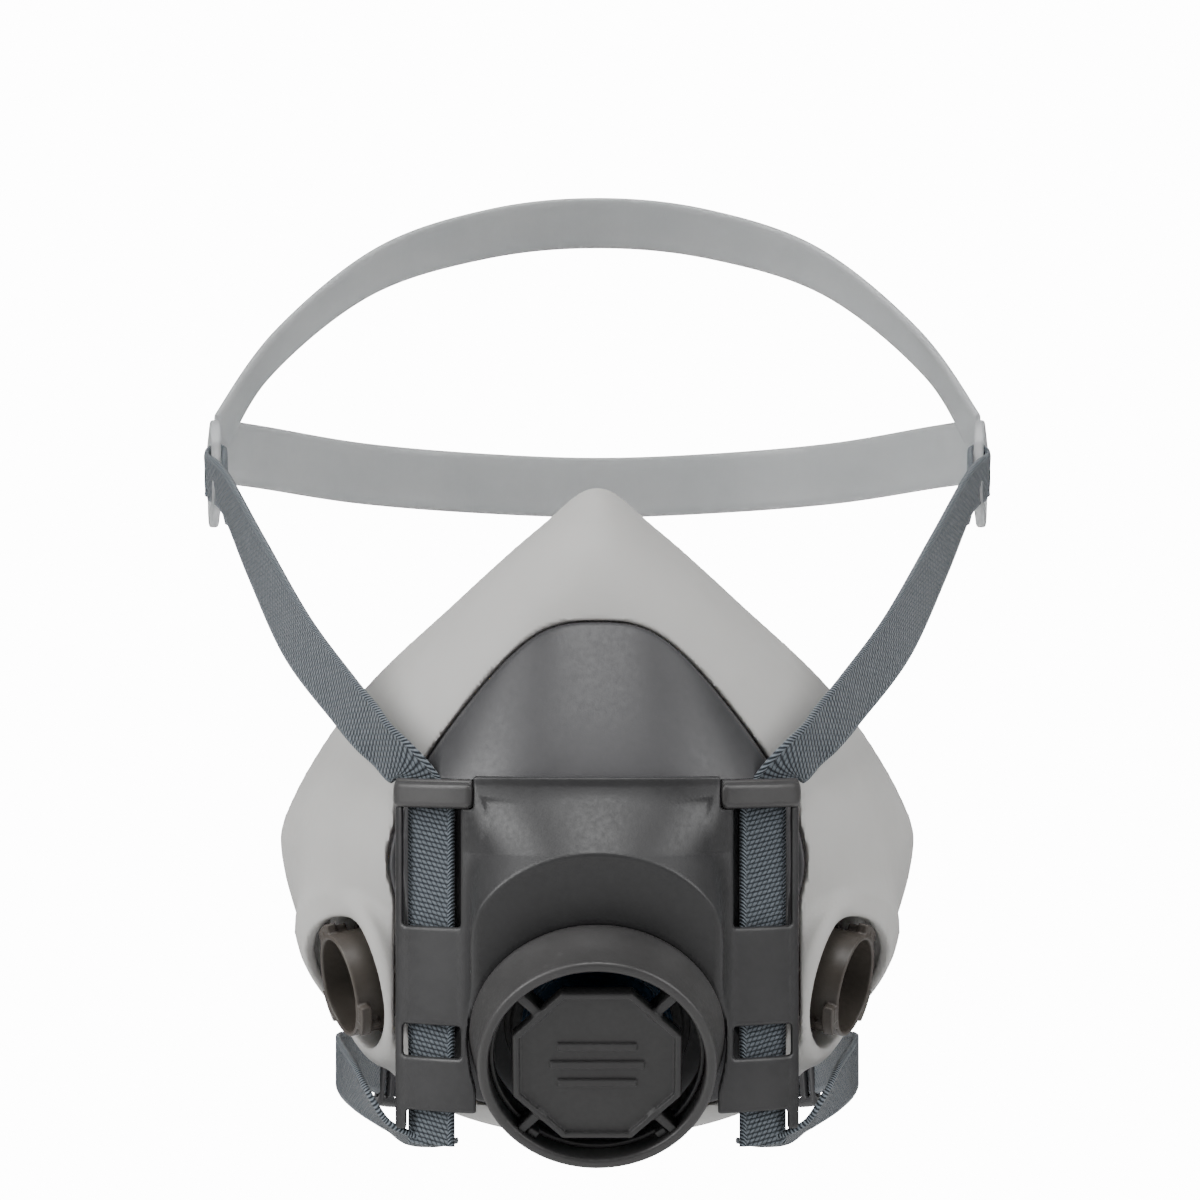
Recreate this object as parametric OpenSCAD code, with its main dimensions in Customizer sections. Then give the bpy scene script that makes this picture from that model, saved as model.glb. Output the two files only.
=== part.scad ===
// Painter's half-mask respirator: an elastomer facepiece, a rigid inner shell, a front yoke with a
// sloping exhalation valve, two bayonet filter ports, webbing straps, a head cradle and a neck clip.
// X is left to right, the mask faces -Y, Z is up, and the origin is the middle of the face seal.

/* [Facepiece] */
// Half of the face seal's greatest width
seal_half_w = 67.5; // [62:0.5:72]
// Height of the nose point above the origin
nose_z = 68.6; // [64:0.2:72]
// Depth of the chin edge below the origin
chin_z = 66; // [63:0.5:70]
// Thickness of the elastomer wall
wall = 2.6; // [2:0.1:3.2]
// How far the sealing lip turns inward
lip_w = 9; // [6:0.5:12]

/* [Yoke] */
// Radius of the yoke's curved front, seen from above
barrel_r = 59; // [57:0.5:62]
// Thickness of the yoke plate
plate_t = 2; // [1.6:0.1:2.2]
// Height of the yoke's top edge
yoke_top = 8.6; // [7:0.2:10]
// Half of the yoke's width
yoke_half_w = 41.2; // [40:0.2:43]
// Half of the width of the central boss
boss_half_w = 26; // [25:0.2:27]

/* [Exhalation valve] */
// Tilt of the valve below straight ahead
valve_tilt = 26; // [22:1:30]
// Outer radius of the shroud's front rim
rim_r = 23.8; // [22:0.2:25]
// Length of the shroud from the boss to its rim
shroud_len = 12.8; // [10:0.2:14]
// Half of the octagonal grille's width across its flats
octagon_half = 16.9; // [15:0.1:18]

/* [Filter ports] */
// Bore radius of a filter port
port_bore_r = 9.75; // [9:0.05:10]
// Outer radius of a port's tube
port_tube_r = 10.75; // [10.4:0.05:11.2]
// Outer radius over the bayonet lugs
lug_r = 13; // [12.5:0.1:13.4]
// Radius of the hole in the facepiece that a port fills
collar_hole_r = 14; // [13.8:0.1:14.4]

/* [Harness] */
// Width of the webbing
strap_w = 11.4; // [10:0.2:12]
// Thickness of the webbing
strap_t = 1.2; // [1:0.1:1.4]
// Width of each of the head cradle's bands
band_w = 15; // [12:0.5:18]
// Thickness of the cradle's plastic
band_t = 1.8; // [1.4:0.1:2.2]

/* [Hidden] */
$fn = 96;
big = 300;

// Outlines of the mask's right half, from the nose to the chin
seal_half = [[0, -25, nose_z], [12.4, -21, 60.1], [30, -14, 44.5], [50.5, -6, 25], [65, 0, 3],
             [seal_half_w, 2, -17], [57, -2, -39.5], [37, -10, -57.5], [0, -16, -chin_z]];
rim_half = [[0, -45, 41], [12, -44.5, 38.6], [24, -44, 27.5], [37.6, -43, yoke_top], [42, -42, -8],
            [40, -43, -22], [37, -43, -42], [25, -43, -56], [0, -43, -61]];
rim_mid_z = -8;
side_bulge = 6;
front_bulge = 8;

// Barrel and boss
barrel_y = -5;
inner_recess = 4.6;
boss_forward = 11;
boss_wall = 2.2;
arch_top_z = -6;
chin_arc_r = 61;
yoke_low = -71;
plate_low = -63;
window_in = 27.6;
window_out = 39.6;
windows = [[-21.4, 2.8], [-48, -41.5], [plate_low - 1, -59]];
rail_back = -44;
keeper_low = 2.8;
keeper_high = 7.9;
keeper_in = 25;
keeper_proud = 1.8;

// Valve frame: the axis leaves the middle of the boss's sloping face
valve_pos = [0, -56.5, -43.2];
shell_back = 4.6;
base_r = 25.7;
rim_wall = 2;
seat_r = 17.5;
seat_hole_r = 13.5;
seat_flange_r = 19;
flap_r = 15.5;
flap_t = 0.8;
stem_r = 1.55;
stem_hole_r = 1.6;

// Port frame: Z runs along the port's axis and its zero is the plane of the facepiece's hole
port_pos = [46.4, -29.2, -33.5];
port_turn = [0, 102, -20.8];
port_high = 7;
port_floor = -6;
port_deep = -9.5;
port_step = -7;
groove_depth = 0.3;
groove_len = 2.4;
cup_r = 13.8;
clamp_r = 16;
clamp_low = -8;
collar_low = -4.4;
lug_angles = [65, 160, 305];
lug_arc = 34;

// Harness routes on the right side: [point, direction of the webbing's width]
upper_route = [[[38.8, -47.2, 12.4], [0.3, 0.58, -0.75]], [[44.2, -42, 15.6], [0.25, 0.55, -0.8]],
               [[47.6, -38, 18.8], [0.18, 0.48, -0.85]], [[52.6, -30, 24.2], [0.13, 0.42, -0.9]],
               [[63.9, -5, 37.1], [0.15, 0.36, -0.92]], [[75.4, 35, 54.5], [0.1, 0.45, -0.88]],
               [[84.4, 64.5, 69.2], [0.05, 0.47, -0.88]]];
neck_route = [[[30.5, -44.6, -65.8], [-0.5, 0.86, -0.1]], [[36, -42.6, -65.9], [-0.45, 0.88, -0.12]],
              [[41.4, -40.4, -64.7], [-0.42, 0.82, -0.4]], [[45.8, -36, -60.2], [-0.3, 0.7, -0.65]],
              [[50.6, -25, -56.4], [-0.05, 0.25, -0.96]], [[54, -8, -55], [0, 0, -1]],
              [[56.3, 20, -55], [0, 0, -1]], [[54.8, 52, -58], [0, 0.05, -1]], [[49, 88, -64], [-0.05, 0.1, -1]],
              [[31, 112, -69], [0, 0.1, -1]], [[22, 118, -71], [0, 0.1, -1]]];
guide_r = barrel_r - plate_t - 0.4;
guide_low = -61.5;
guide_high = 4.5;
temple_pos = [88, 80.5, 75.5];
temple_turn = [-28, 0, -8];
plate_len = 19;
plate_high = 21;
slot_len = 14;
fold_len = 7;
slot_w = 3;
low_band = [[[88, 87, 79.5], [0, -0.3, 1]], [[80, 122, 79], [0, -0.2, 1]], [[58, 154, 76], [0, -0.1, 1]],
            [[30, 171, 74], [0, 0, 1]], [[0, 176, 73], [0, 0, 1]]];
high_band = [[[88, 87, 82], [0, -0.7, 0.7]], [[77, 112, 103], [-0.2, -0.6, 0.7]], [[54, 134, 124], [-0.2, -0.6, 0.7]],
             [[27, 147, 134], [-0.1, -0.6, 0.7]], [[0, 151, 137], [0, -0.6, 0.7]]];
adjuster_pos = [49, 88, -64];
adjuster_turn = [-9, 0, 21.6];
clip_y = 121;
clip_z = -72;
clip_gap = 2.3;
peg_r = 2.6;

// Small vector helpers
function unit(v) = v / norm(v);
function lerp(a, b, t) = a + (b - a) * t;
function spline(a, b, c, d, t) =
    0.5 * (2 * b + (c - a) * t + (2 * a - 5 * b + 4 * c - d) * t * t + (3 * b - a - 3 * c + d) * t * t * t);

// A closed loop from its right half, and a smooth curve through it
function both_sides(half) = concat(half, [for (i = [len(half) - 2:-1:1]) [-half[i].x, half[i].y, half[i].z]]);
function loop_curve(pts, steps) = let (n = len(pts))
    [for (i = [0:n - 1], k = [0:steps - 1])
        spline(pts[(i + n - 1) % n], pts[i], pts[(i + 1) % n], pts[(i + 2) % n], k / steps)];
function open_curve(pts, steps) = let (n = len(pts))
    [for (i = [0:n - 2], k = [0:steps - (i == n - 2 ? 0 : 1)])
        spline(pts[max(i - 1, 0)], pts[i], pts[i + 1], pts[min(i + 2, n - 1)], k / steps)];

// Closed solid through rings of equal length that follow each other round a closed section
module ring_solid(rings) {
    m = len(rings);
    n = len(rings[0]);
    pts = [for (r = rings, p = r) p];
    faces = [for (j = [0:m - 1], i = [0:n - 1])
        let (a = j * n + i, b = j * n + (i + 1) % n, c = ((j + 1) % m) * n + (i + 1) % n, d = ((j + 1) % m) * n + i)
            each [[a, b, c], [a, c, d]]];
    polyhedron(points = pts, faces = faces, convexity = 8);
}

// Closed solid from a front sheet and a back sheet, each a list of rows of points
module sheet_solid(front, back) {
    m = len(front);
    n = len(front[0]);
    back_at = m * n;
    pts = concat([for (r = front, p = r) p], [for (r = back, p = r) p]);
    quads = concat(
        [for (j = [0:m - 2], i = [0:n - 2]) [j * n + i, j * n + i + 1, (j + 1) * n + i + 1, (j + 1) * n + i]],
        [for (j = [0:m - 2], i = [0:n - 2])
            [back_at + j * n + i, back_at + (j + 1) * n + i, back_at + (j + 1) * n + i + 1, back_at + j * n + i + 1]],
        [for (j = [0:m - 2]) [j * n, (j + 1) * n, back_at + (j + 1) * n, back_at + j * n]],
        [for (j = [0:m - 2])
            [j * n + n - 1, back_at + j * n + n - 1, back_at + (j + 1) * n + n - 1, (j + 1) * n + n - 1]],
        [for (i = [0:n - 2]) [i, back_at + i, back_at + i + 1, i + 1]],
        [for (i = [0:n - 2])
            [(m - 1) * n + i, (m - 1) * n + i + 1, back_at + (m - 1) * n + i + 1, back_at + (m - 1) * n + i]]);
    polyhedron(points = pts, faces = [for (q = quads) each [[q[0], q[1], q[2]], [q[0], q[2], q[3]]]], convexity = 8);
}

// Flat webbing along a route of [point, width direction]
module webbing(route, width, thick, steps = 4) {
    line = open_curve([for (r = route) r[0]], steps);
    wide = open_curve([for (r = route) r[1]], steps);
    last = len(line) - 1;
    rows = [for (i = [0:last])
        let (d = unit(line[min(i + 1, last)] - line[max(i - 1, 0)]),
             w = unit(wide[i] - (wide[i] * d) * d) * width / 2,
             t = unit(cross(d, w)) * thick / 2)
            [line[i] - w - t, line[i] + w - t, line[i] + w + t, line[i] - w + t]];
    n = len(rows);
    pts = [for (r = rows, p = r) p];
    faces = concat(
        [for (j = [0:n - 2], i = [0:3])
            let (a = j * 4 + i, b = j * 4 + (i + 1) % 4, c = a + 4, d = b + 4) each [[a, c, d], [a, d, b]]],
        [[0, 1, 2], [0, 2, 3]],
        [[4 * n - 1, 4 * n - 2, 4 * n - 3], [4 * n - 1, 4 * n - 3, 4 * n - 4]]);
    polyhedron(points = pts, faces = faces, convexity = 6);
}

module mirrored(side) {
    if (side > 0) children();
    else mirror([1, 0, 0]) children();
}

// Frames of the valve and of a port
module on_valve() { translate(valve_pos) rotate([90 + valve_tilt, 0, 0]) children(); }
module on_port() { translate(port_pos) rotate(port_turn) children(); }

// ---------------------------------------------------------------- facepiece
curve_steps = 3;
seal = loop_curve(both_sides(seal_half), curve_steps);
rim = loop_curve(both_sides(rim_half), curve_steps);
around = len(seal);
function outward(p) = unit([p.x, 0, p.z - rim_mid_z]);
function wall_point(i, v) =
    let (f = rim[i], r = seal[i],
         m = (f + r) / 2 + side_bulge * outward(r) + [0, -front_bulge, 0])
        (1 - v) * (1 - v) * f + 2 * v * (1 - v) * m + v * v * r;
function wall_ring(v) = [for (i = [0:around - 1]) wall_point(i, v)];
function wall_normal(i, v) =
    let (du = wall_point((i + 1) % around, v) - wall_point((i + around - 1) % around, v),
         dv = wall_point(i, min(v + 0.02, 1)) - wall_point(i, max(v - 0.02, 0)))
        unit(cross(dv, du));
function inner_ring(v) = [for (i = [0:around - 1]) wall_point(i, v) + wall * wall_normal(i, v)];
function about_rim(p, k, dy) = [p.x * k, p.y + dy, rim_mid_z + (p.z - rim_mid_z) * k];
function tuck_ring(k, dy) = [for (p = rim) about_rim(p, k, dy)];
function lip_ring(depth, dy) = [for (p = seal) p - depth * outward(p) + [0, dy, 0]];
wall_steps = [0, 0.17, 0.34, 0.5, 0.67, 0.84, 1];
tuck_scale = 0.9;
tuck_dy = 2.8;

module facepiece_shell() {
    ring_solid(concat(
        [tuck_ring(tuck_scale, tuck_dy), tuck_ring(0.995, tuck_dy)],
        [for (v = wall_steps) wall_ring(v)],
        [lip_ring(lip_w, 1.2), lip_ring(lip_w, -0.3), lip_ring(wall + 1, -2)],
        [for (k = [5:-1:1]) inner_ring(wall_steps[k])],
        [tuck_ring(0.985, tuck_dy + 2.6), tuck_ring(tuck_scale, tuck_dy + 2)]));
}

module facepiece() {
    color([0.71, 0.705, 0.69])
    difference() {
        facepiece_shell();
        for (side = [-1, 1]) mirrored(side) on_port() {
            translate([0, 0, -18]) cylinder(r = collar_hole_r, h = 30, $fn = 32);
            translate([0, 0, -18]) cylinder(r = clamp_r + 0.6, h = 18 + collar_low, $fn = 32);
        }
    }
}

// ---------------------------------------------------------------- inner shell
row_steps = 3;
shell_rows = open_curve(rim_half, row_steps);
shell_scale = 0.985;
across = 12;
shell_t = 2;
function valve_plane(z, back) = valve_pos.y + back / cos(valve_tilt) - tan(valve_tilt) * (z - valve_pos.z);
function ridge_y(z) = z >= yoke_top
    ? lerp(-64, -45, pow((z - yoke_top) / (41 - yoke_top), 1.15))
    : max(barrel_y - barrel_r + inner_recess, valve_plane(z, shell_back));
function dome(s) = pow(max(1 - pow(abs(s), 2.2), 0), 0.75);
function shell_front(row, s, below) =
    let (x = row.x * s,
         y = lerp(row.y, below ? min(ridge_y(row.z - 0.01), row.y) : ridge_y(row.z), dome(s)),
         limit = barrel_y - sqrt(pow(barrel_r - inner_recess, 2) - x * x))
        below ? max(y, limit) : y;
function shell_row(row, below, dy) =
    [for (i = [-across:across])
        let (s = sin(90 * i / across)) [row.x * s, shell_front(row, s, below) + dy, row.z]];
function shell_sheet(dy) = [for (i = [1:len(shell_rows) - 2], below = [false, true])
    let (raw = shell_rows[i],
         row = about_rim(raw, shell_scale, 0),
         step = 3 * row_steps)
        if ((below && i >= step) || (!below && i <= step))
            shell_row([row.x, row.y, row.z + (i == step ? (below ? -0.1 : 0.1) : 0)], below, dy)];

module inner_shell() {
    color([0.26, 0.26, 0.265])
    difference() {
        sheet_solid(shell_sheet(0), shell_sheet(shell_t));
        on_valve() translate([0, 0, -30]) cylinder(r = seat_r + 0.02, h = 40);
        for (side = [-1, 1]) mirrored(side) on_port() translate([0, 0, -22]) cylinder(r = clamp_r + 0.8, h = 30);
    }
}

// ---------------------------------------------------------------- yoke
// Solid that fills the barrel curve up to a radius, between two heights
module barrel(radius, low, high) { translate([0, barrel_y, low]) cylinder(r = radius, h = high - low); }

module boss_block(inset) {
    // Behind the sloping valve face, under the sloping panel, in front of the plate
    intersection() {
        translate([0, barrel_y - boss_forward, yoke_low]) cylinder(r = barrel_r - inset, h = yoke_top - yoke_low);
        translate([-(boss_half_w - inset), -big / 2, yoke_low - 1]) cube([2 * (boss_half_w - inset), big / 2 - 44, 100]);
        on_valve() translate([-big / 2, -big / 2, -big - inset]) cube([big, big, big]);
        translate([0, -64 + inset, yoke_top])
            rotate([-atan2(boss_forward, yoke_top - arch_top_z), 0, 0])
                translate([-big / 2, 0, -big / 2]) cube([big, big, big]);
        translate([0, 0, -10]) rotate([90, 0, 0]) cylinder(r = chin_arc_r - inset, h = big, center = true);
    }
}

module yoke() {
    color([0.255, 0.25, 0.245])
    difference() {
        union() {
            // Curved plate
            difference() {
                intersection() {
                    barrel(barrel_r, plate_low, yoke_top);
                    translate([-yoke_half_w, -big, -big / 2]) cube([2 * yoke_half_w, big + barrel_y - 30, big]);
                }
                barrel(barrel_r - plate_t, plate_low - 1, yoke_top + 1);
                translate([-boss_half_w + 1, -big, plate_low - 1]) cube([2 * boss_half_w - 2, big, yoke_top - plate_low - 1]);
            }
            // Side rails behind the plate's edges
            for (side = [-1, 1]) mirrored(side) intersection() {
                translate([window_out, -60, plate_low]) cube([yoke_half_w - window_out, rail_back + 60, yoke_top - plate_low]);
                barrel(barrel_r, plate_low, yoke_top);
            }
            boss_block(0);
        }
        boss_block(boss_wall);
        // Open back of the boss
        barrel(barrel_r - plate_t, yoke_low - 2, yoke_top + 1);
        on_valve() translate([0, 0, -20]) cylinder(r = rim_r - rim_wall, h = 40);
        // Seat of the valve's shroud
        on_valve() cylinder(r = base_r + 0.05, h = 40);
        for (side = [-1, 1], w = windows) mirrored(side)
            translate([window_in, -80, w[0]]) cube([window_out - window_in, 60, w[1] - w[0]]);
        // Seats of the strap keepers
        for (side = [-1, 1]) mirrored(side)
            translate([keeper_in, -80, keeper_low]) cube([60, 60, yoke_top - keeper_low + 1]);
    }
}

module strap_keeper(side) {
    color([0.3, 0.295, 0.29]) mirrored(side)
    difference() {
        intersection() {
            barrel(barrel_r + keeper_proud, keeper_low + 0.05, keeper_high);
            translate([keeper_in + 0.05, -80, -20]) cube([yoke_half_w + 0.6 - keeper_in, 40, 40]);
        }
        barrel(barrel_r - plate_t, -20, 20);
    }
}

// ---------------------------------------------------------------- exhalation valve
module valve_shroud() {
    color([0.3, 0.295, 0.285]) on_valve()
    rotate_extrude() polygon([[rim_r - rim_wall + 0.05, 0.02], [base_r, 0.02], [base_r - 0.5, 3],
                              [rim_r + 0.4, shroud_len - 3], [rim_r, shroud_len], [rim_r - rim_wall + 0.05, shroud_len]]);
}

module valve_grille() {
    inner = rim_r - rim_wall;
    color([0.22, 0.22, 0.215]) on_valve() {
        translate([0, 0, shroud_len - 3.4]) rotate([0, 0, 22.5])
            cylinder(r = octagon_half / cos(22.5), h = 2, $fn = 8);
        translate([0, 0, shroud_len - 1.5]) difference() {
            rotate([0, 0, 22.5]) cylinder(r = octagon_half / cos(22.5), h = 1.2, $fn = 8);
            rotate([0, 0, 22.5]) translate([0, 0, -1]) cylinder(r = (octagon_half - 1.4) / cos(22.5), h = 4, $fn = 8);
        }
        for (a = [45:90:315]) rotate([0, 0, a])
            translate([octagon_half - 0.5, -1, shroud_len - 5.5]) cube([inner - octagon_half + 0.3, 2, 4]);
        translate([0, 0, shroud_len - 6.5]) difference() {
            cylinder(r = inner, h = 2);
            translate([0, 0, -1]) cylinder(r = inner - 1, h = 4);
        }
    }
}

// Distances along the valve axis, measured back from the boss's sloping face
seat_face = -shell_back + 1.2;
module exhale_seat() {
    color([0.18, 0.18, 0.18]) on_valve() {
        difference() {
            union() {
                translate([0, 0, -shell_back - 4]) cylinder(r = seat_r, h = 4 + 1.2);
                translate([0, 0, -shell_back + 0.02]) cylinder(r = seat_flange_r, h = 1.18);
            }
            translate([0, 0, -shell_back - 5]) cylinder(r = seat_hole_r, h = 10);
        }
        difference() {
            union() {
                translate([0, 0, seat_face - 1.6]) cylinder(r = 3.2, h = 1.6);
                for (a = [90:120:330]) rotate([0, 0, a])
                    translate([2.2, -0.8, seat_face - 1.6]) cube([seat_hole_r - 1.9, 1.6, 1.6]);
            }
            translate([0, 0, -shell_back - 5]) cylinder(r = stem_hole_r, h = 10);
        }
    }
}

module exhale_flap() {
    color([0.08, 0.13, 0.2]) on_valve() {
        translate([0, 0, seat_face + 0.02]) cylinder(r = flap_r, h = flap_t);
        translate([0, 0, seat_face - 4.6]) cylinder(r = stem_r, h = 5);
        translate([0, 0, seat_face - 4.6]) cylinder(r = 2.3, h = 1.2);
    }
}

// ---------------------------------------------------------------- filter ports
// Block of a ring between two radii, from a start angle over an arc
module ring_block(inner, outer, low, high, start, arc) {
    rotate([0, 0, start]) rotate_extrude(angle = arc)
        translate([inner, low]) square([outer - inner, high - low]);
}

module port(side) {
    color([0.27, 0.25, 0.235]) mirrored(side) on_port()
    difference() {
        union() {
            translate([0, 0, port_deep]) cylinder(r = port_tube_r, h = port_high - port_deep);
            // Cup that lines the facepiece's hole, with a flange behind it
            translate([0, 0, port_floor]) difference() {
                cylinder(r = cup_r, h = -port_floor - 0.6);
                translate([0, 0, 1.4]) cylinder(r = cup_r - 1, h = 10);
            }
            translate([0, 0, clamp_low + 2.02]) cylinder(r = clamp_r, h = 1.4);
            // Radial ribs on the floor of the cup
            for (a = [0:30:330]) rotate([0, 0, a])
                translate([port_tube_r - 0.3, -0.5, port_floor]) cube([cup_r - port_tube_r, 1, 3]);
            // Bayonet lugs, each with a stepped end
            for (a = lug_angles) {
                ring_block(port_tube_r - 0.4, lug_r, port_high - 2.4, port_high - 0.2, a - lug_arc / 2, lug_arc);
                ring_block(port_tube_r - 0.4, lug_r - 0.6, port_high - 4.6, port_high - 2.2, a + lug_arc / 2 - 11, 9);
            }
        }
        translate([0, 0, port_step]) cylinder(r = port_bore_r, h = 30);
        translate([0, 0, port_step]) cylinder(r = port_bore_r + groove_depth, h = groove_len);
        translate([0, 0, port_deep - 1]) cylinder(r = port_bore_r - 0.75, h = 30);
    }
    // Spider that carries the inhalation flap
    color([0.27, 0.25, 0.235]) mirrored(side) on_port() difference() {
        translate([0, 0, port_deep]) union() {
            cylinder(r = 2.6, h = 1.6);
            for (a = [0:90:270]) rotate([0, 0, a]) translate([1.8, -0.6, 0]) cube([port_bore_r - 2.2, 1.2, 1.6]);
        }
        translate([0, 0, port_deep - 1]) cylinder(r = stem_hole_r, h = 5);
    }
}

module port_lock_ring(side) {
    color([0.25, 0.24, 0.23]) mirrored(side) on_port()
    translate([0, 0, clamp_low]) difference() {
        cylinder(r = clamp_r, h = 1.95);
        translate([0, 0, -1]) cylinder(r = port_tube_r + 0.05, h = 4);
        for (a = [0:60:300]) rotate([0, 0, a]) translate([clamp_r - 1, -2, -1]) cube([4, 4, 4]);
    }
}

module port_gasket(side) {
    color([0.12, 0.12, 0.12]) mirrored(side) on_port()
    translate([0, 0, port_floor + 3.05]) difference() {
        cylinder(r = cup_r - 1.05, h = 1.2);
        translate([0, 0, -1]) cylinder(r = port_tube_r + 0.05, h = 4);
    }
}

module inhale_flap(side) {
    color([0.72, 0.72, 0.7]) mirrored(side) on_port() {
        translate([0, 0, port_deep - 0.72]) cylinder(r = port_tube_r, h = 0.7);
        translate([0, 0, port_deep - 0.5]) cylinder(r = stem_r, h = 4.8);
        translate([0, 0, port_deep + 3.4]) cylinder(r = 2.2, h = 0.9);
    }
}

// ---------------------------------------------------------------- harness
module guide_strap(side) {
    color([0.33, 0.37, 0.41]) mirrored(side)
    difference() {
        intersection() {
            barrel(guide_r, guide_low, guide_high);
            translate([window_in + 0.35, -80, guide_low - 1]) cube([strap_w, 40, 90]);
        }
        barrel(guide_r - strap_t, guide_low - 1, guide_high + 1);
    }
}

module upper_strap(side) {
    color([0.33, 0.37, 0.41]) mirrored(side) webbing(upper_route, strap_w, strap_t);
}

// Webbing doubled round the cradle's outer bar and stitched
module strap_fold(side) {
    color([0.31, 0.35, 0.39]) mirrored(side)
    translate(temple_pos) rotate(temple_turn) {
        translate([band_t / 2 + 0.1, -fold_len - 1, -strap_w / 2]) cube([strap_t, fold_len, strap_w]);
        translate([-band_t / 2 - 0.1 - strap_t, -fold_len - 1, -strap_w / 2]) cube([strap_t, fold_len, strap_w]);
    }
}

module temple_plate() {
    translate(temple_pos) rotate(temple_turn) difference() {
        translate([-band_t / 2, -plate_len / 2 + 3, -plate_high / 2]) cube([band_t, plate_len, plate_high]);
        translate([-5, -plate_len / 2 + 6, -slot_len / 2]) cube([10, slot_w, slot_len]);
    }
}

module head_cradle() {
    color([0.8, 0.83, 0.84, 0.6]) for (side = [-1, 1]) mirrored(side) {
        temple_plate();
        webbing(low_band, band_w, band_t, 3);
        webbing(high_band, band_w, band_t, 3);
    }
}

module neck_strap(side) {
    color([0.33, 0.37, 0.41]) mirrored(side) webbing(neck_route, strap_w, strap_t, 3);
}

module neck_adjuster(side) {
    color([0.2, 0.2, 0.2]) mirrored(side)
    translate(adjuster_pos) rotate(adjuster_turn)
    difference() {
        translate([-2.2, -5, -8]) cube([4.4, 10, 16]);
        translate([-1.5, -6, -6.6]) cube([3, 12, 13.2]);
        translate([-3, -3.6, -6.6]) cube([6, 2.2, 13.2]);
        translate([-3, 1.4, -6.6]) cube([6, 2.2, 13.2]);
    }
}

module neck_hook() {
    color([0.2, 0.2, 0.2]) {
        translate([-26, clip_y - 1.2, clip_z - 7]) cube([28, 2.4, 14]);
        translate([-2, clip_y + 1, clip_z]) rotate([-90, 0, 0]) cylinder(r = peg_r, h = 2 * clip_gap + 2.6);
        translate([-2, clip_y + 1.2 + 2 * clip_gap + 2, clip_z]) rotate([-90, 0, 0]) cylinder(r = peg_r + 2, h = 1.6);
    }
}

module neck_loop() {
    fork_y = clip_y + 1.2 + clip_gap;
    color([0.2, 0.2, 0.2]) difference() {
        translate([-8, fork_y, clip_z - 7]) cube([34, 2, 14]);
        translate([-9, fork_y - 1, clip_z - peg_r - 0.4]) cube([9 + 1.2, 4, 2 * peg_r + 0.8]);
        translate([-2 + 0.4, fork_y - 1, clip_z]) rotate([-90, 0, 0]) cylinder(r = peg_r + 0.4, h = 4);
    }
}

facepiece();
inner_shell();
yoke();
valve_shroud();
valve_grille();
exhale_seat();
exhale_flap();
port(-1);  // port_left
port(1);  // port_right
port_lock_ring(-1);  // port_lock_ring_left
port_lock_ring(1);  // port_lock_ring_right
port_gasket(-1);  // port_gasket_left
port_gasket(1);  // port_gasket_right
inhale_flap(-1);  // inhale_flap_left
inhale_flap(1);  // inhale_flap_right
strap_keeper(-1);  // strap_keeper_left
strap_keeper(1);  // strap_keeper_right
guide_strap(-1);  // guide_strap_left
guide_strap(1);  // guide_strap_right
upper_strap(-1);  // upper_strap_left
upper_strap(1);  // upper_strap_right
strap_fold(-1);  // strap_fold_left
strap_fold(1);  // strap_fold_right
head_cradle();
neck_strap(-1);  // neck_strap_left
neck_strap(1);  // neck_strap_right
neck_adjuster(-1);  // neck_adjuster_left
neck_adjuster(1);  // neck_adjuster_right
neck_hook();
neck_loop();
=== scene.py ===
"""Visual model of a painter's half-mask respirator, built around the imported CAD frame."""
import math
from functools import partial

import bpy
import numpy as np
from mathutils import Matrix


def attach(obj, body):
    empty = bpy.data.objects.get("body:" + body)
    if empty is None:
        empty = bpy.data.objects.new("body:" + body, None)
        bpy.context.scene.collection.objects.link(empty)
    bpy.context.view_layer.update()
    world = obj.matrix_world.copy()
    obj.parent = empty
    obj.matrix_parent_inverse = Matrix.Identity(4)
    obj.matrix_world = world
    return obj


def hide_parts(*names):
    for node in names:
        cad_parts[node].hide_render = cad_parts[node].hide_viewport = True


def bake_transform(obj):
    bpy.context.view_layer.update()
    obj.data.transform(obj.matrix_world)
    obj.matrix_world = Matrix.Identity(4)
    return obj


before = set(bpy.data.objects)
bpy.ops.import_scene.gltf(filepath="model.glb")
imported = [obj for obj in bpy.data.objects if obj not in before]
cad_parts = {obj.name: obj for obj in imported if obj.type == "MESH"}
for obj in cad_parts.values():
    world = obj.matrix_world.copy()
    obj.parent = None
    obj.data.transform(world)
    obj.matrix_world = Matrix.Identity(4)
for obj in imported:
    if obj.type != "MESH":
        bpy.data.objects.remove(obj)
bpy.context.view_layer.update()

import openvdb
from mathutils import Vector

MM = 0.001

# ------------------------------------------------------------------ dimensions, in millimetres
SEAL = [(0, -25, 68.6), (12.4, -21, 60.1), (30, -14, 44.5), (50.5, -6, 25), (65, 0, 3),
        (67.5, 2, -11), (58.5, -1, -34.5), (37, -10, -57.5), (0, -16, -66)]
RIM = [(0, -45, 41), (12, -44.5, 38.6), (24, -44, 27.5), (37.6, -43, 8.6), (43.2, -42, -8),
       (40.6, -43, -22), (39.4, -43, -42), (28, -43, -57), (0, -43, -61)]
RIM_MID_Z = -8.0
SIDE_BULGE, FRONT_BULGE = 6.0, 8.0
WALL, LIP = 2.6, 9.0
BARREL_R, BARREL_Y, PLATE_T = 59.0, -5.0, 2.0
YOKE_TOP, YOKE_HALF, BOSS_HALF = 8.6, 41.2, 26.0
PLATE_LOW, YOKE_LOW = -63.0, -71.0
BOSS_FORWARD, ARCH_TOP, PANEL_LEAN, ARCH_R = 11.0, -6.0, 0.8, 26.4
CHIN_R = 61.0
WINDOW_IN, WINDOW_OUT = 27.6, 39.6
WINDOWS, FOOT_GAP_TOP = ((-21.4, 2.8), (-48.0, -41.5)), -59.0
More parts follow.
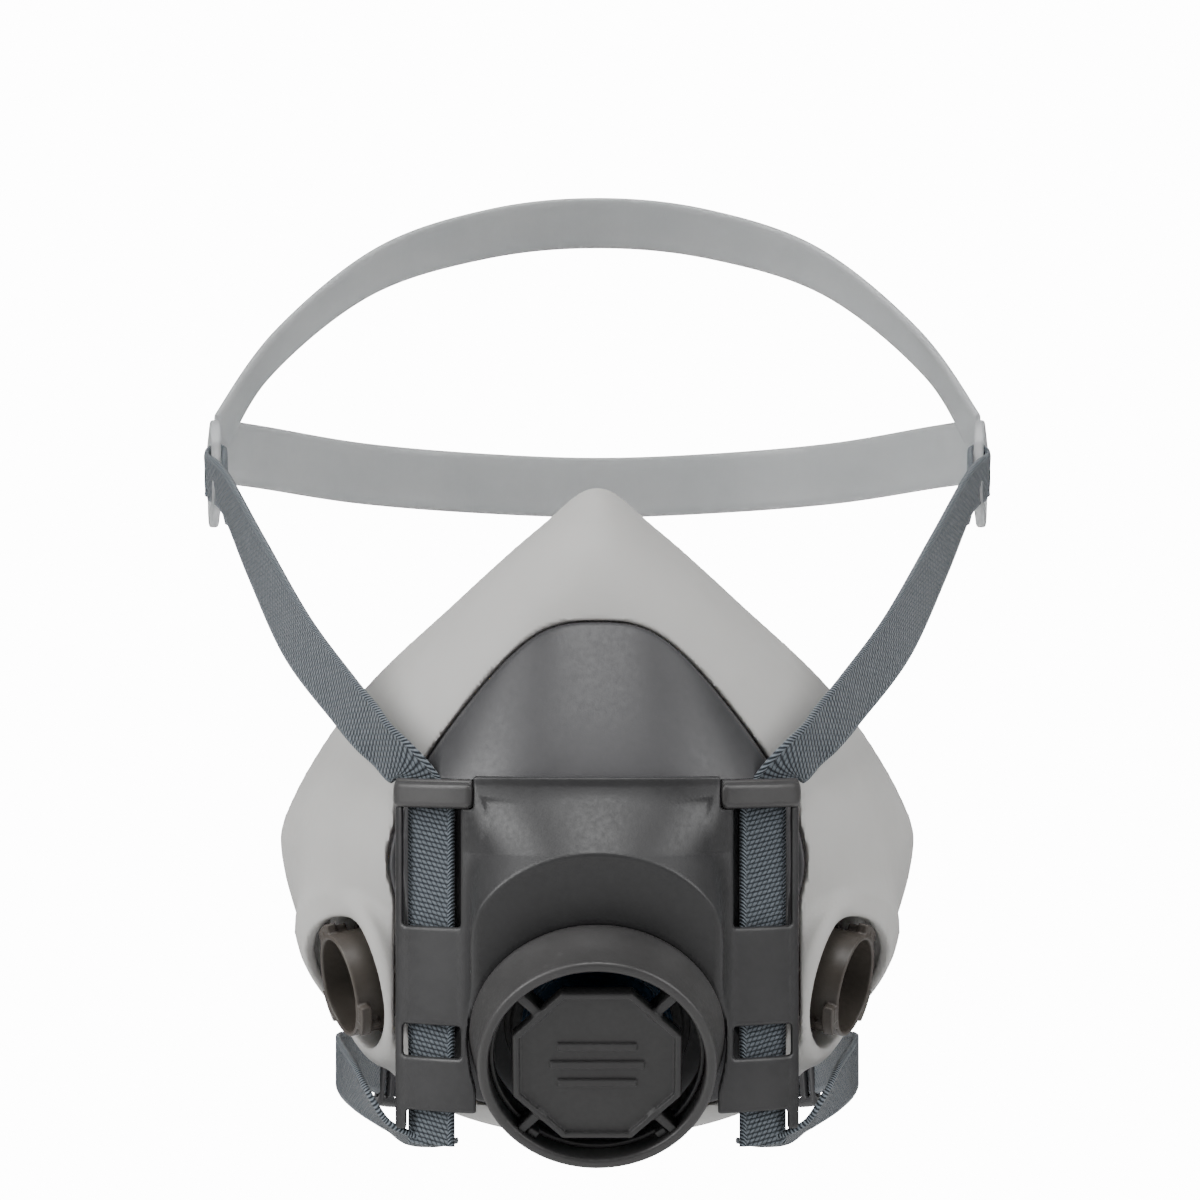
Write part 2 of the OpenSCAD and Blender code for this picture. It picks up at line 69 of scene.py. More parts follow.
KEEPER = {"low": 2.8, "high": 7.9, "inner": 25.0, "proud": 1.8}
TILT = math.radians(26)
VALVE = np.array([0, -56.5, -43.2])
RIM_R, RIM_WALL, BASE_R, SHROUD = 23.8, 2.0, 25.7, 12.8
OCTAGON, SPOKE_HALF = 16.9, 0.95
SHELL_BACK = 4.6
PORT = np.array([46.4, -29.2, -33.5])
PORT_POLAR, PORT_TURN = math.radians(102), math.radians(-20.8)
PORT_HIGH, PORT_FLOOR, PORT_STEP, PORT_DEEP = 8.0, -6.0, -7.0, -9.5
BORE_R, TUBE_R, LUG_R, CUP_R, HOLE_R = 9.75, 10.75, 13.0, 13.8, 14.0
COLLAR_HIGH, DISH_R, DISH_SLOPE = 1.8, 18.0, 0.42
LUG_ANGLES, LUG_ARC = (65, 160, 305), 34
STRAP_W, STRAP_T, GUIDE_W = 11.4, 1.2, 11.9
FLANGE_R, CLAMP_ROOM_R = 16.0, 16.6
SEAT_HOLE_R, SEAT_R, SEAT_FLANGE_R, FLAP_R, STEM_R = 13.5, 17.5, 19.0, 15.5, 1.55
BOSS_WALL, YOKE_ROOM_R = 2.2, 54.6
# Grid of the facepiece, and the width of its band of distances, in voxels
FACE_VOXEL, BAND_VOXELS = 0.75, 9.0


# ------------------------------------------------------------------ frames and fields
def unit(v):
    """Vectors of length 1 along the last axis."""
    v = np.asarray(v, float)
    return v / np.linalg.norm(v, axis=-1, keepdims=True)


def turned(polar, turn):
    """Columns of a frame whose Z leans by polar from +Z, then turns by turn about Z."""
    cp, sp, ct, st = math.cos(polar), math.sin(polar), math.cos(turn), math.sin(turn)
    about_y = np.array([[cp, 0, sp], [0, 1, 0], [-sp, 0, cp]])
    about_z = np.array([[ct, -st, 0], [st, ct, 0], [0, 0, 1]])
    return about_z @ about_y


def leaned(angle):
    """Columns of a frame turned about X, as the valve is."""
    c, s = math.cos(angle), math.sin(angle)
    return np.array([[1, 0, 0], [0, c, -s], [0, s, c]])


VALVE_AXES = leaned(math.pi / 2 + TILT)
PORT_AXES = turned(PORT_POLAR, PORT_TURN)


def local(p, origin, axes):
    """Coordinates of grid points in a frame."""
    q = [p[i] - origin[i] for i in range(3)]
    return [q[0] * axes[0, k] + q[1] * axes[1, k] + q[2] * axes[2, k] for k in range(3)]


def at_port(p, side):
    """Coordinates of points in the frame of the port on one side."""
    return local([p[0] * side, p[1], p[2]], PORT, PORT_AXES)


def smooth_max(a, b, r):
    h = np.maximum(r - np.abs(a - b), 0) / r
    return np.maximum(a, b) + h * h * r / 4


def smooth_min(a, b, r):
    return -smooth_max(-a, -b, r)


def cut(a, b, r=0.4):
    """Solid a with solid b taken out, and the edge rounded by about r."""
    return smooth_max(a, -b, r)


def slab(x, low, high):
    return np.maximum(low - x, x - high)


def block(x, y, z, lows, highs, r=0.5):
    """Box with rounded edges."""
    q = [np.abs(c - (lo + hi) / 2) - ((hi - lo) / 2 - r) for c, lo, hi in zip((x, y, z), lows, highs)]
    outside = np.sqrt(sum(np.maximum(c, 0) ** 2 for c in q))
    inside = np.minimum(np.maximum(np.maximum(q[0], q[1]), q[2]), 0)
    return outside + inside - r


def disc(x, y, z, radius, low, high, r=0.4):
    """Cylinder along z with rounded edges."""
    a = np.hypot(x, y) - (radius - r)
    b = slab(z, low + r, high - r)
    return np.hypot(np.maximum(a, 0), np.maximum(b, 0)) + np.minimum(np.maximum(a, b), 0) - r


def ring_part(x, y, z, inner, outer, low, high, r=0.3):
    rho = np.hypot(x, y)
    a = slab(rho, inner + r, outer - r)
    b = slab(z, low + r, high - r)
    return np.hypot(np.maximum(a, 0), np.maximum(b, 0)) + np.minimum(np.maximum(a, b), 0) - r


def spun(x, y, angle):
    """Coordinates along and across the direction at an angle in degrees."""
    c, s = math.cos(math.radians(angle)), math.sin(math.radians(angle))
    return x * c + y * s, y * c - x * s


def sector(x, y, angle, arc):
    """Distance outside a wedge of the given arc, both in degrees."""
    half = math.radians(arc / 2)
    u, v = spun(x, y, angle)
    return np.abs(v) * math.cos(half) - u * math.sin(half)


def octagon(x, y, half):
    """Distance outside a regular octagon with a flat top."""
    a, b = np.abs(x), np.abs(y)
    return np.maximum(np.maximum(a, b), (a + b) * math.sqrt(0.5)) - half


# ------------------------------------------------------------------ meshes
def new_object(verts, faces, normals=None):
    """Smooth mesh object in metres. Its name comes when it is placed."""
    mesh = bpy.data.meshes.new("piece")
    mesh.vertices.add(len(verts))
    mesh.vertices.foreach_set("co", np.asarray(verts, np.float32).ravel())
    faces = np.asarray(faces, np.int32)
    mesh.loops.add(faces.size)
    mesh.loops.foreach_set("vertex_index", faces.ravel())
    mesh.polygons.add(len(faces))
    mesh.polygons.foreach_set("loop_start", np.arange(len(faces), dtype=np.int32) * faces.shape[1])
    mesh.polygons.foreach_set("use_smooth", np.ones(len(faces), bool))
    mesh.update()
    mesh.validate()
    if normals is not None and len(mesh.vertices) == len(normals):
        mesh.normals_split_custom_set_from_vertices([tuple(n) for n in normals])
    obj = bpy.data.objects.new("piece", mesh)
    bpy.context.scene.collection.objects.link(obj)
    return obj


def ring_quads(n, k, closed=False):
    """Quads over n rings of k points. A closed run joins its last ring to its first."""
    j, i = np.meshgrid(np.arange(n if closed else n - 1), np.arange(k), indexing="ij")
    far = (j + 1) % n
    return np.stack([j * k + i, j * k + (i + 1) % k, far * k + (i + 1) % k, far * k + i], -1).reshape(-1, 4)


def capped_quads(n, k):
    """The same for an open run, with both ends filled across."""
    ends = []
    for row in (0, n - 1):
        for i in range(k // 2 - 1):
            quad = [row * k + i, row * k + i + 1, row * k + k - 2 - i, row * k + k - 1 - i]
            ends.append(quad if row else quad[::-1])
    return np.concatenate([ring_quads(n, k), np.array(ends)])


def sample(field, pts):
    """Trilinear values and gradients of a grid at fractional index points."""
    top = np.array(field.shape) - 1.001
    pts = np.clip(pts, 0, top)
    base = np.floor(pts).astype(int)
    f = pts - base
    bx, by, bz = base.T
    c = [[[field[bx + i, by + j, bz + k] for k in (0, 1)] for j in (0, 1)] for i in (0, 1)]
    mix = lambda a, b, t: a + (b - a) * t
    x, y, z = f.T
    face = [[mix(c[i][j][0], c[i][j][1], z) for j in (0, 1)] for i in (0, 1)]
    line = [mix(face[i][0], face[i][1], y) for i in (0, 1)]
    gx = line[1] - line[0]
    gy = mix(face[0][1] - face[0][0], face[1][1] - face[1][0], x)
    gz = mix(mix(c[0][0][1] - c[0][0][0], c[0][1][1] - c[0][1][0], y),
             mix(c[1][0][1] - c[1][0][0], c[1][1][1] - c[1][1][0], y), x)
    return mix(line[0], line[1], x), np.stack([gx, gy, gz], 1)


def solidify(field, lows, voxel):
    """Mesh of the zero surface of a field of distances in millimetres."""
    grid = openvdb.FloatGrid(3 * voxel)
    field = np.clip(field, -3 * voxel, 3 * voxel).astype(np.float32)
    grid.copyFromArray(field)
    pts, quads = grid.convertToQuads(isovalue=0.0)
    for _ in range(2):
        value, slope = sample(field, pts)
        size = np.maximum((slope ** 2).sum(1), 0.05 * voxel * voxel)
        step = -(value / size)[:, None] * slope
        pts = pts + np.clip(step, -0.4, 0.4)
    _, slope = sample(field, pts)
    normals = slope / np.maximum(np.linalg.norm(slope, axis=1), 1e-6)[:, None]
    verts = (np.asarray(lows) + pts * voxel) * MM
    tri = verts[quads[:200]]
    turn = np.cross(tri[:, 1] - tri[:, 0], tri[:, 2] - tri[:, 0])
    if (turn * normals[quads[:200, 0]]).sum() < 0:
        quads = quads[:, ::-1]
    return new_object(verts, quads, normals)


def carve(shape, lows, highs, voxel):
    """Object from a function of grid coordinates that returns distances."""
    axes = [np.arange(lo, hi + voxel, voxel, dtype=np.float32) for lo, hi in zip(lows, highs)]
    p = np.meshgrid(*axes, indexing="ij", sparse=True)
    field = shape(*p)
    return solidify(np.broadcast_to(field, tuple(len(a) for a in axes)), lows, voxel)


def carve_in(shape, lows, highs, voxel, origin, axes, side=1):
    """The same in a local frame, mirrored for the left side."""
    obj = carve(shape, lows, highs, voxel)
    mesh = obj.data
    co = np.empty(len(mesh.vertices) * 3, np.float32)
    mesh.vertices.foreach_get("co", co)
    co = co.reshape(-1, 3) @ np.asarray(axes).T.astype(np.float32) + np.asarray(origin) * MM
    if side < 0:
        co[:, 0] *= -1
        mesh.flip_normals()
    mesh.vertices.foreach_set("co", co.astype(np.float32).ravel())
    mesh.update()
    return obj


# ------------------------------------------------------------------ smooth curves
def spline(a, b, c, d, t):
    return 0.5 * (2 * b + (c - a) * t + (2 * a - 5 * b + 4 * c - d) * t * t + (3 * b - a - 3 * c + d) * t ** 3)


def loop_curve(half, steps):
    pts = [np.array(p, float) for p in half] + [np.array([-p[0], p[1], p[2]], float) for p in half[-2:0:-1]]
    n = len(pts)
    return np.array([spline(pts[i - 1], pts[i], pts[(i + 1) % n], pts[(i + 2) % n], k / steps)
                     for i in range(n) for k in range(steps)])


def open_curve(points, steps):
    pts = [np.array(p, float) for p in points]
    n = len(pts)
    out = [spline(pts[max(i - 1, 0)], pts[i], pts[i + 1], pts[min(i + 2, n - 1)], k / steps)
           for i in range(n - 1) for k in range(steps)]
    return np.array(out + [pts[-1]])


def width_across(line, wide):
    """Directions of a run, and its width directions squared up to them."""
    d = unit(np.gradient(line, axis=0))
    return d, unit(wide - (wide * d).sum(1)[:, None] * d)


# ------------------------------------------------------------------ facepiece
def outward(p):
    """Directions away from the middle of the rim, in the face's plane."""
    return unit(np.stack([p[:, 0], 0 * p[:, 0], p[:, 2] - RIM_MID_Z], 1))


def build_facepiece():
    steps = 14
    seal, rim = loop_curve(SEAL, steps), loop_curve(RIM, steps)
    middle = (rim + seal) / 2 + SIDE_BULGE * outward(seal) + np.array([0, -FRONT_BULGE, 0])
    wall = lambda v: (1 - v) ** 2 * rim + 2 * v * (1 - v) * middle + v * v * seal
    vs = np.linspace(0, 1, 22)
    outer = np.array([wall(v) for v in vs])
    # A shallow dish sinks the wall round each port, so that the collar stands proud of it
    for side in (1, -1):
        flip = np.array([side, 1, 1])
        x, y, z = at_port(np.moveaxis(outer, -1, 0), side)
        floor = 0.6 + DISH_SLOPE * np.maximum(np.hypot(x, y) - DISH_R, 0)
        sink = np.where(z > -10, smooth_max(z - floor, 0 * z, 3.5), 0)
        sink = sink * (1 - vs ** 6)[:, None]
        outer = outer - sink[..., None] * PORT_AXES[2] * flip
    du = np.roll(outer, -1, 1) - np.roll(outer, 1, 1)
    dv = np.gradient(outer, axis=0)
    n = unit(np.cross(dv, du))
    about = lambda k, dy: np.stack([rim[:, 0] * k, rim[:, 1] + dy, RIM_MID_Z + (rim[:, 2] - RIM_MID_Z) * k], 1)
    lip = lambda depth, dy: seal - depth * outward(seal) + np.array([0, dy, 0])
    lip_turn = [lip(0.6, 0.9), lip(2.0, 1.5), lip(LIP * 0.5, 1.8), lip(LIP - 0.6, 1.5), lip(LIP, 0.9),
                lip(LIP - 0.4, 0.3), lip(LIP * 0.6, 0.2), lip(WALL + 2.0, -1.0), lip(WALL + 0.8, -2.6)]
    inner = [outer[i] + WALL * n[i] for i in range(len(vs) - 3, 1, -1)]
    rim_front, rim_back = [about(0.91, 2.8), about(0.99, 2.6)], [about(0.98, 5.4), about(0.91, 5.0)]
    rings = np.array(rim_front + list(outer) + lip_turn + inner + rim_back)
    quads = ring_quads(*rings.shape[:2], closed=True)
    voxel = FACE_VOXEL
    lows = np.array([-72.0, -56.0, -70.0])
    highs = np.array([72.0, 8.0, 72.0])
    shape = tuple(int(c) for c in np.ceil((highs - lows) / voxel))
    pts = ((rings.reshape(-1, 3) - lows) / voxel).astype(np.float32)
    grid = openvdb.FloatGrid.createLevelSetFromPolygons(
        pts, quads=quads.astype(np.uint32), halfWidth=BAND_VOXELS)
    field = np.empty(shape, np.float32)
    field[:] = BAND_VOXELS * voxel
    grid.copyToArray(field)
    field = field * (voxel if abs(grid.background - BAND_VOXELS) < 0.5 else 1.0)
    axes = [lo + voxel * np.arange(s, dtype=np.float32) for lo, s in zip(lows, shape)]
    p = np.meshgrid(*axes, indexing="ij", sparse=True)
    for side in (1, -1):
        x, y, z = at_port(p, side)
        rho = np.hypot(x, y)
        bead = np.hypot(rho - (HOLE_R + 1.9), z - COLLAR_HIGH) - 2.0
        sleeve = ring_part(x, y, z, HOLE_R - 1.0, HOLE_R + 3.7, -4.2, COLLAR_HIGH + 0.4, 0.4)
        field = smooth_min(field, smooth_min(bead, sleeve, 1.0), 2.6)
        field = smooth_max(field, -np.maximum(rho - HOLE_R, slab(z, -30, 14)), 0.9)
        field = np.maximum(field, -np.maximum(rho - CLAMP_ROOM_R, slab(z, -18, -4.4)))
    side = np.abs(p[0])
    yoke_room = np.maximum(YOKE_ROOM_R - np.hypot(p[0], p[1] - BARREL_Y), p[1] + 38)
    yoke_room = np.maximum(np.maximum(yoke_room, slab(p[2], -66, 6)), side - YOKE_HALF - 0.4)
    crescent = (np.hypot((side - 30) / 13.0, (p[2] + 8.5) / 13.5) - 1) * 13
    yoke_room = np.minimum(yoke_room, smooth_max(crescent, p[1] + 39, 0.8))
    field = smooth_max(field, -yoke_room, 0.8)
    return solidify(field, lows, voxel)


# ------------------------------------------------------------------ inner shell
def outline_field(pts, gx, gz):
    """Signed distance in the XZ plane to a closed outline."""
    a, b = pts[:, [0, 2]], np.roll(pts, -1, 0)[:, [0, 2]]
    best = np.full(gx.shape, 1e9)
    inside = np.zeros(gx.shape, bool)
    for (x0, z0), (x1, z1) in zip(a, b):
        ex, ez = x1 - x0, z1 - z0
        t = np.clip(((gx - x0) * ex + (gz - z0) * ez) / max(ex * ex + ez * ez, 1e-9), 0, 1)
        best = np.minimum(best, (gx - x0 - t * ex) ** 2 + (gz - z0 - t * ez) ** 2)
        if z0 != z1:
            hit = ((z0 > gz) != (z1 > gz)) & (gx < x0 + (gz - z0) * ex / ez)
            inside ^= hit
    d = np.sqrt(best)
    return np.where(inside, -d, d)


def valve_plane_y(z, back):
    return VALVE[1] + back / math.cos(TILT) - math.tan(TILT) * (z - VALVE[2])


def build_inner_shell():
    rim = loop_curve(RIM, 12)
    voxel = 0.42
    lows, highs = (-44.0, -66.0, -62.0), (44.0, -38.0, 42.5)
    axes = [np.arange(lo, hi + voxel, voxel, dtype=np.float32) for lo, hi in zip(lows, highs)]
    gx, gz = np.meshgrid(axes[0], axes[2], indexing="ij")
    border = outline_field(rim, gx, gz)
    half = len(RIM) * 12 - 12
    right = rim[:half + 1]
    order = np.argsort(right[:, 2])
    wide = np.maximum(np.interp(axes[2], right[order, 2], right[order, 0]), 0.8)
    edge_y = np.interp(axes[2], right[order, 2], right[order, 1])
    up = np.clip((axes[2] - YOKE_TOP) / (41 - YOKE_TOP), 0, 1)
    ridge = -64 + 19 * up ** 1.15
    s = np.clip(np.abs(gx) / wide, 0, 1)
    dome = np.maximum(1 - s ** 2.2, 0) ** 0.75
    front = edge_y + (ridge - edge_y) * dome
    x2 = np.sqrt((BARREL_R - 4.6) ** 2 - gx ** 2)
    low = np.maximum(np.maximum(BARREL_Y - x2, valve_plane_y(gz, SHELL_BACK)), front)
    front = np.where(gz < YOKE_TOP - 0.1, np.minimum(low, edge_y), front)
    gy = axes[1]
    fx, fz = np.gradient(front, voxel)
    lean = np.sqrt(1 + np.clip(fx, -3, 3) ** 2 + np.clip(fz, -3, 3) ** 2)
    d = (front[:, None, :] - gy[None, :, None]) / lean[:, None, :]
    body = smooth_max(smooth_max(d, -(d + 2.0), 0.5), (border + 0.5)[:, None, :], 0.9)
    p = np.meshgrid(*axes, indexing="ij", sparse=True)
    x, y, z = local(p, VALVE, VALVE_AXES)
    body = cut(body, np.hypot(x, y) - (SEAT_R + 0.1), 0.3)
    for side in (1, -1):
        x, y, z = at_port(p, side)
        body = cut(body, np.maximum(np.hypot(x, y) - 16.8, slab(z, -22, 8)), 0.3)
    return solidify(body, lows, voxel)


# ------------------------------------------------------------------ yoke
def boss_field(p, inset):
    """The central boss: a panel that tightens from the yoke's barrel to the arch over the valve,
    cut off by the valve's sloping face."""
    x, y, z = p
    fall = np.clip((YOKE_TOP - 1.0 - z) / (YOKE_TOP - 1.0 - ARCH_TOP), 0, 3)
    bend = np.minimum(fall, 1)
    radius = 1 / ((1 - bend) / BARREL_R + bend / ARCH_R)
    middle = BARREL_Y - BARREL_R - BOSS_FORWARD * fall + radius
    f = (np.hypot(x, np.minimum(y - middle, 0)) - radius + 1.2 * inset) * PANEL_LEAN
    _, _, w = local(p, VALVE, VALVE_AXES)
    f = smooth_max(f, w + inset, 0.7 if inset == 0 else 0.3)
    f = smooth_max(f, np.abs(x) - (BOSS_HALF - inset), 2.5)
    chin = np.hypot(x, z + 10) - (CHIN_R - inset)
    f = smooth_max(f, chin, 2.0)
    f = smooth_max(f, slab(z, YOKE_LOW, YOKE_TOP), 0.3)
    return np.maximum(f, y + 45)


def yoke_shape(x, y, z):
    p = (x, y, z)
    rho = np.hypot(x, y - BARREL_Y)
    side = np.abs(x)
    plate = smooth_max(np.maximum(rho - BARREL_R, BARREL_R - PLATE_T - rho), slab(z, PLATE_LOW, YOKE_TOP), 0.7)
    plate = smooth_max(plate, side - YOKE_HALF, 0.7)
    plate = np.maximum(np.maximum(plate, y + 40), np.minimum(BOSS_HALF - 1.5 - side, YOKE_TOP - 2.2 - z))
    rail = smooth_max(slab(side, WINDOW_OUT - 0.2, YOKE_HALF), rho - BARREL_R, 0.7)
    rail = smooth_max(np.maximum(rail, y + 44.0), slab(z, PLATE_LOW, YOKE_TOP), 0.7)
    frame_part = smooth_min(plate, rail, 0.4)
    foot_gap = block(side, y, z, (22, -90, -70), (WINDOW_OUT - 0.7, -30, FOOT_GAP_TOP), 0.6)
    frame_part = cut(frame_part, foot_gap, 0.5)
    holes = [block(side, y, z, (WINDOW_IN, -90, low), (WINDOW_OUT, -30, high), 0.6) for low, high in WINDOWS]
    for hole in holes:
        frame_part = cut(frame_part, hole, 0.7)
    body = smooth_min(frame_part, boss_field(p, 0), 3.0)
    # The panel's foot and the boss melt into the plate, but the windows stay open
    for hole in holes:
        body = np.maximum(body, -hole)
    body = cut(body, boss_field(p, BOSS_WALL), 0.4)
    body = cut(body, np.maximum(rho - (BARREL_R - PLATE_T), side - WINDOW_OUT), 0.3)
    u, v, w = local(p, VALVE, VALVE_AXES)
    body = cut(body, np.maximum(np.hypot(u, v) - (RIM_R - RIM_WALL), slab(w, -20, 20)), 0.4)
    body = cut(body, np.maximum(np.hypot(u, v) - (BASE_R + 0.55), -w), 0.3)
    seat = block(side, y, z, (KEEPER["inner"], -90, KEEPER["low"]), (60, -30, 20), 0.4)
    return cut(body, seat, 0.3)


def build_yoke():
    return carve(yoke_shape, (-43.0, -78.0, -72.5), (43.0, -41.0, 10.5), 0.42)


def build_keeper(side):
    """Block over the strap, with a soft outer edge and a low step at its inner end."""
    def shape(x, y, z):
        rho = np.hypot(x, y - BARREL_Y)
        f = np.maximum(rho - (BARREL_R + KEEPER["proud"]), BARREL_R - PLATE_T - rho)
        f = smooth_max(f, slab(z, KEEPER["low"] + 0.05, KEEPER["high"]), 1.1)
        f = smooth_max(f, slab(x * side, KEEPER["inner"] + 0.1, YOKE_HALF + 0.5), 1.6)
        step = np.maximum(rho - (BARREL_R + 0.5), BARREL_R - PLATE_T - rho)
        step = smooth_max(step, slab(z, KEEPER["low"] + 0.05, YOKE_TOP), 0.5)
        step = smooth_max(step, slab(x * side, KEEPER["inner"] + 0.1, YOKE_HALF), 0.6)
        return smooth_min(f, step, 0.5)
    low_x = KEEPER["inner"] - 1.5 if side > 0 else -YOKE_HALF - 2.5
    return carve(shape, (low_x, -62.5, 1.0), (low_x + 20, -44.0, 10.5), 0.28)


# ------------------------------------------------------------------ exhalation valve
def build_shroud():
    def shape(x, y, z):
        rho = np.hypot(x, y)
        t = np.clip(z / SHROUD, 0, 1)
        outer = RIM_R + 0.3 + (BASE_R + 0.2 - RIM_R) * (1 - t) ** 2.2
        f = np.maximum(rho - outer, RIM_R - RIM_WALL + 0.05 - rho)
        return smooth_max(f, slab(z, -0.1, SHROUD), 1.1)
    return carve_in(shape, (-28, -28, -1.0), (28, 28, 14.0), 0.4, VALVE, VALVE_AXES)


def build_grille():
    inner = RIM_R - RIM_WALL

    def shape(x, y, z):
        rho = np.hypot(x, y)
        plate = smooth_max(octagon(x, y, OCTAGON), slab(z, SHROUD - 3.4, SHROUD - 1.5), 0.4)
        lip = smooth_max(np.maximum(octagon(x, y, OCTAGON), -octagon(x, y, OCTAGON - 1.3)),
                         slab(z, SHROUD - 3.2, SHROUD - 0.4), 0.5)
        f = smooth_min(plate, lip, 0.5)
        u, v = (x + y) * math.sqrt(0.5), (x - y) * math.sqrt(0.5)
        u, v = np.abs(u), np.abs(v)
        spokes = np.minimum(np.maximum(u - SPOKE_HALF, 15.5 - v), np.maximum(v - SPOKE_HALF, 15.5 - u))
        spokes = smooth_max(smooth_max(spokes, slab(z, SHROUD - 6.5, SHROUD - 1.2), 0.5), rho - inner - 0.2, 0.2)
        f = smooth_min(f, spokes, 0.8)
        band = ring_part(x, y, z, inner - 1.0, inner - 0.05, SHROUD - 6.5, SHROUD - 4.5, 0.2)
        f = smooth_min(f, band, 0.5)
        # Two snap tabs inside the lower edge
        for angle in (-128, -52):
            u, v = spun(x, y, angle)
            f = np.minimum(f, block(u, v, z, (inner - 1.6, -1.2, SHROUD - 5.0), (inner, 1.2, SHROUD - 2.0), 0.3))
        # Plain raised bars in the recess, in place of any mark
        for k, wide in ((4.2, 8.0), (0.0, 9.5), (-4.2, 8.0)):
            bar = block(x, y, z, (-wide, k - 0.9, SHROUD - 2.0), (wide, k + 0.9, SHROUD - 0.9), 0.3)
            f = smooth_min(f, bar, 0.3)
        return f
    return carve_in(shape, (-23.5, -23.5, 5.0), (23.5, 23.5, 14.0), 0.32, VALVE, VALVE_AXES)


SEAT_FACE = -SHELL_BACK + 1.2


def build_seat():
    def shape(x, y, z):
        rho = np.hypot(x, y)
        f = ring_part(x, y, z, SEAT_HOLE_R, SEAT_R, -SHELL_BACK - 4, SEAT_FACE, 0.4)
        f = smooth_min(f, ring_part(x, y, z, SEAT_HOLE_R, SEAT_FLANGE_R, -SHELL_BACK, SEAT_FACE - 0.3, 0.3), 0.4)
        hub = disc(x, y, z, 3.2, SEAT_FACE - 1.6, SEAT_FACE, 0.3)
        for k in range(3):
            u, v = spun(x, y, 90 + 120 * k)
            arm = block(u, v, z, (1.5, -0.8, SEAT_FACE - 1.6), (SEAT_HOLE_R + 1, 0.8, SEAT_FACE - 0.1), 0.3)
            hub = smooth_min(hub, arm, 0.4)
        return np.maximum(np.minimum(f, hub), 1.6 - rho)
    return carve_in(shape, (-20, -20, -9.5), (20, 20, -2.5), 0.3, VALVE, VALVE_AXES)


def build_exhale_flap():
    """Thin rubber disc, thicker at its hub, with a raised rim bead and its stem."""
    def shape(x, y, z):
        rho = np.hypot(x, y)
        sheet = disc(x, y, z, FLAP_R, SEAT_FACE + 0.02, SEAT_FACE + 0.82, 0.25)
        bead = np.hypot(rho - (FLAP_R - 0.9), z - SEAT_FACE - 0.75) - 0.4
        hub = disc(x, y, z, 3.4, SEAT_FACE + 0.02, SEAT_FACE + 1.5, 0.5)
        stem = disc(x, y, z, STEM_R, SEAT_FACE - 4.6, SEAT_FACE + 0.5, 0.2)
        knob = np.sqrt(rho ** 2 + (z - SEAT_FACE + 3.9) ** 2 * 2.5) - 2.2
        return smooth_min(smooth_min(smooth_min(sheet, bead, 0.3), hub, 0.8), smooth_min(stem, knob, 0.3), 0.3)
    return carve_in(shape, (-17, -17, -9.5), (17, 17, -1.0), 0.25, VALVE, VALVE_AXES)


# ------------------------------------------------------------------ filter ports
def port_shape(x, y, z):
    rho = np.hypot(x, y)
    f = ring_part(x, y, z, BORE_R, TUBE_R, PORT_DEEP, PORT_HIGH, 0.35)
    f = smooth_min(f, ring_part(x, y, z, BORE_R - 0.75, TUBE_R, PORT_DEEP, PORT_STEP, 0.25), 0.3)
    floor = ring_part(x, y, z, BORE_R, CUP_R, PORT_FLOOR, PORT_FLOOR + 1.4, 0.3)
    cup = ring_part(x, y, z, CUP_R - 1.0, CUP_R, PORT_FLOOR, -0.6, 0.35)
    flange = ring_part(x, y, z, BORE_R, FLANGE_R, PORT_FLOOR, PORT_FLOOR + 1.4, 0.3)
    f = smooth_min(smooth_min(f, floor, 0.8), smooth_min(cup, flange, 0.5), 0.5)
    turn = np.degrees(np.arctan2(y, x))
    for k in range(12):
        away = (turn - 30 * k + 180) % 360 - 180
        off = rho * np.sin(np.radians(np.clip(away, -60, 60)))
        span = np.maximum(slab(rho, TUBE_R - 0.4, CUP_R - 0.6), slab(z, PORT_FLOOR, -3))
        rib = smooth_max(np.abs(off) - 0.5, span, 0.3)
        f = smooth_min(f, rib, 0.4)
    for angle in LUG_ANGLES:
        lug = np.maximum(slab(rho, TUBE_R - 0.5, LUG_R), slab(z, PORT_HIGH - 2.4, PORT_HIGH - 0.2))
        lug = smooth_max(lug, sector(x, y, angle, LUG_ARC), 0.6)
        stop = np.maximum(slab(rho, TUBE_R - 0.5, LUG_R - 0.6), slab(z, PORT_HIGH - 4.6, PORT_HIGH - 1.8))
        stop = smooth_max(stop, sector(x, y, angle + LUG_ARC / 2 - 6.5, 9), 0.4)
        crest = np.maximum(slab(rho, TUBE_R - 0.5, LUG_R - 1.2), slab(z, PORT_HIGH - 2.4, PORT_HIGH))
        crest = smooth_max(crest, sector(x, y, angle - 6, LUG_ARC - 14), 0.4)
        f = smooth_min(f, np.minimum(np.minimum(lug, stop), crest), 0.6)
    f = np.maximum(f, np.where(z > PORT_STEP, BORE_R, BORE_R - 0.75) - rho)
    hub = disc(x, y, z, 2.6, PORT_DEEP, PORT_DEEP + 1.6, 0.3)
    for k in range(4):
        u, v = spun(x, y, 90 * k)
        arm = block(u, v, z, (1.0, -0.6, PORT_DEEP), (BORE_R + 0.4, 0.6, PORT_DEEP + 1.6), 0.25)
        hub = smooth_min(hub, arm, 0.4)
    return np.minimum(f, np.maximum(hub, 1.6 - rho))


def build_port(side):
    return carve_in(port_shape, (-17, -17, -11.5), (17, 17, 9.2), 0.3, PORT, PORT_AXES, side)


def build_lock_ring(side):
    def shape(x, y, z):
        f = ring_part(x, y, z, TUBE_R + 0.05, FLANGE_R, -8.0, -6.05, 0.4)
        for k in range(6):
            u, v = spun(x, y, 60 * k)
            f = cut(f, block(u, v, z, (15.0, -2, -10), (19, 2, -4), 0.4), 0.4)
        return f
    return carve_in(shape, (-17.5, -17.5, -9.5), (17.5, 17.5, -5.0), 0.35, PORT, PORT_AXES, side)


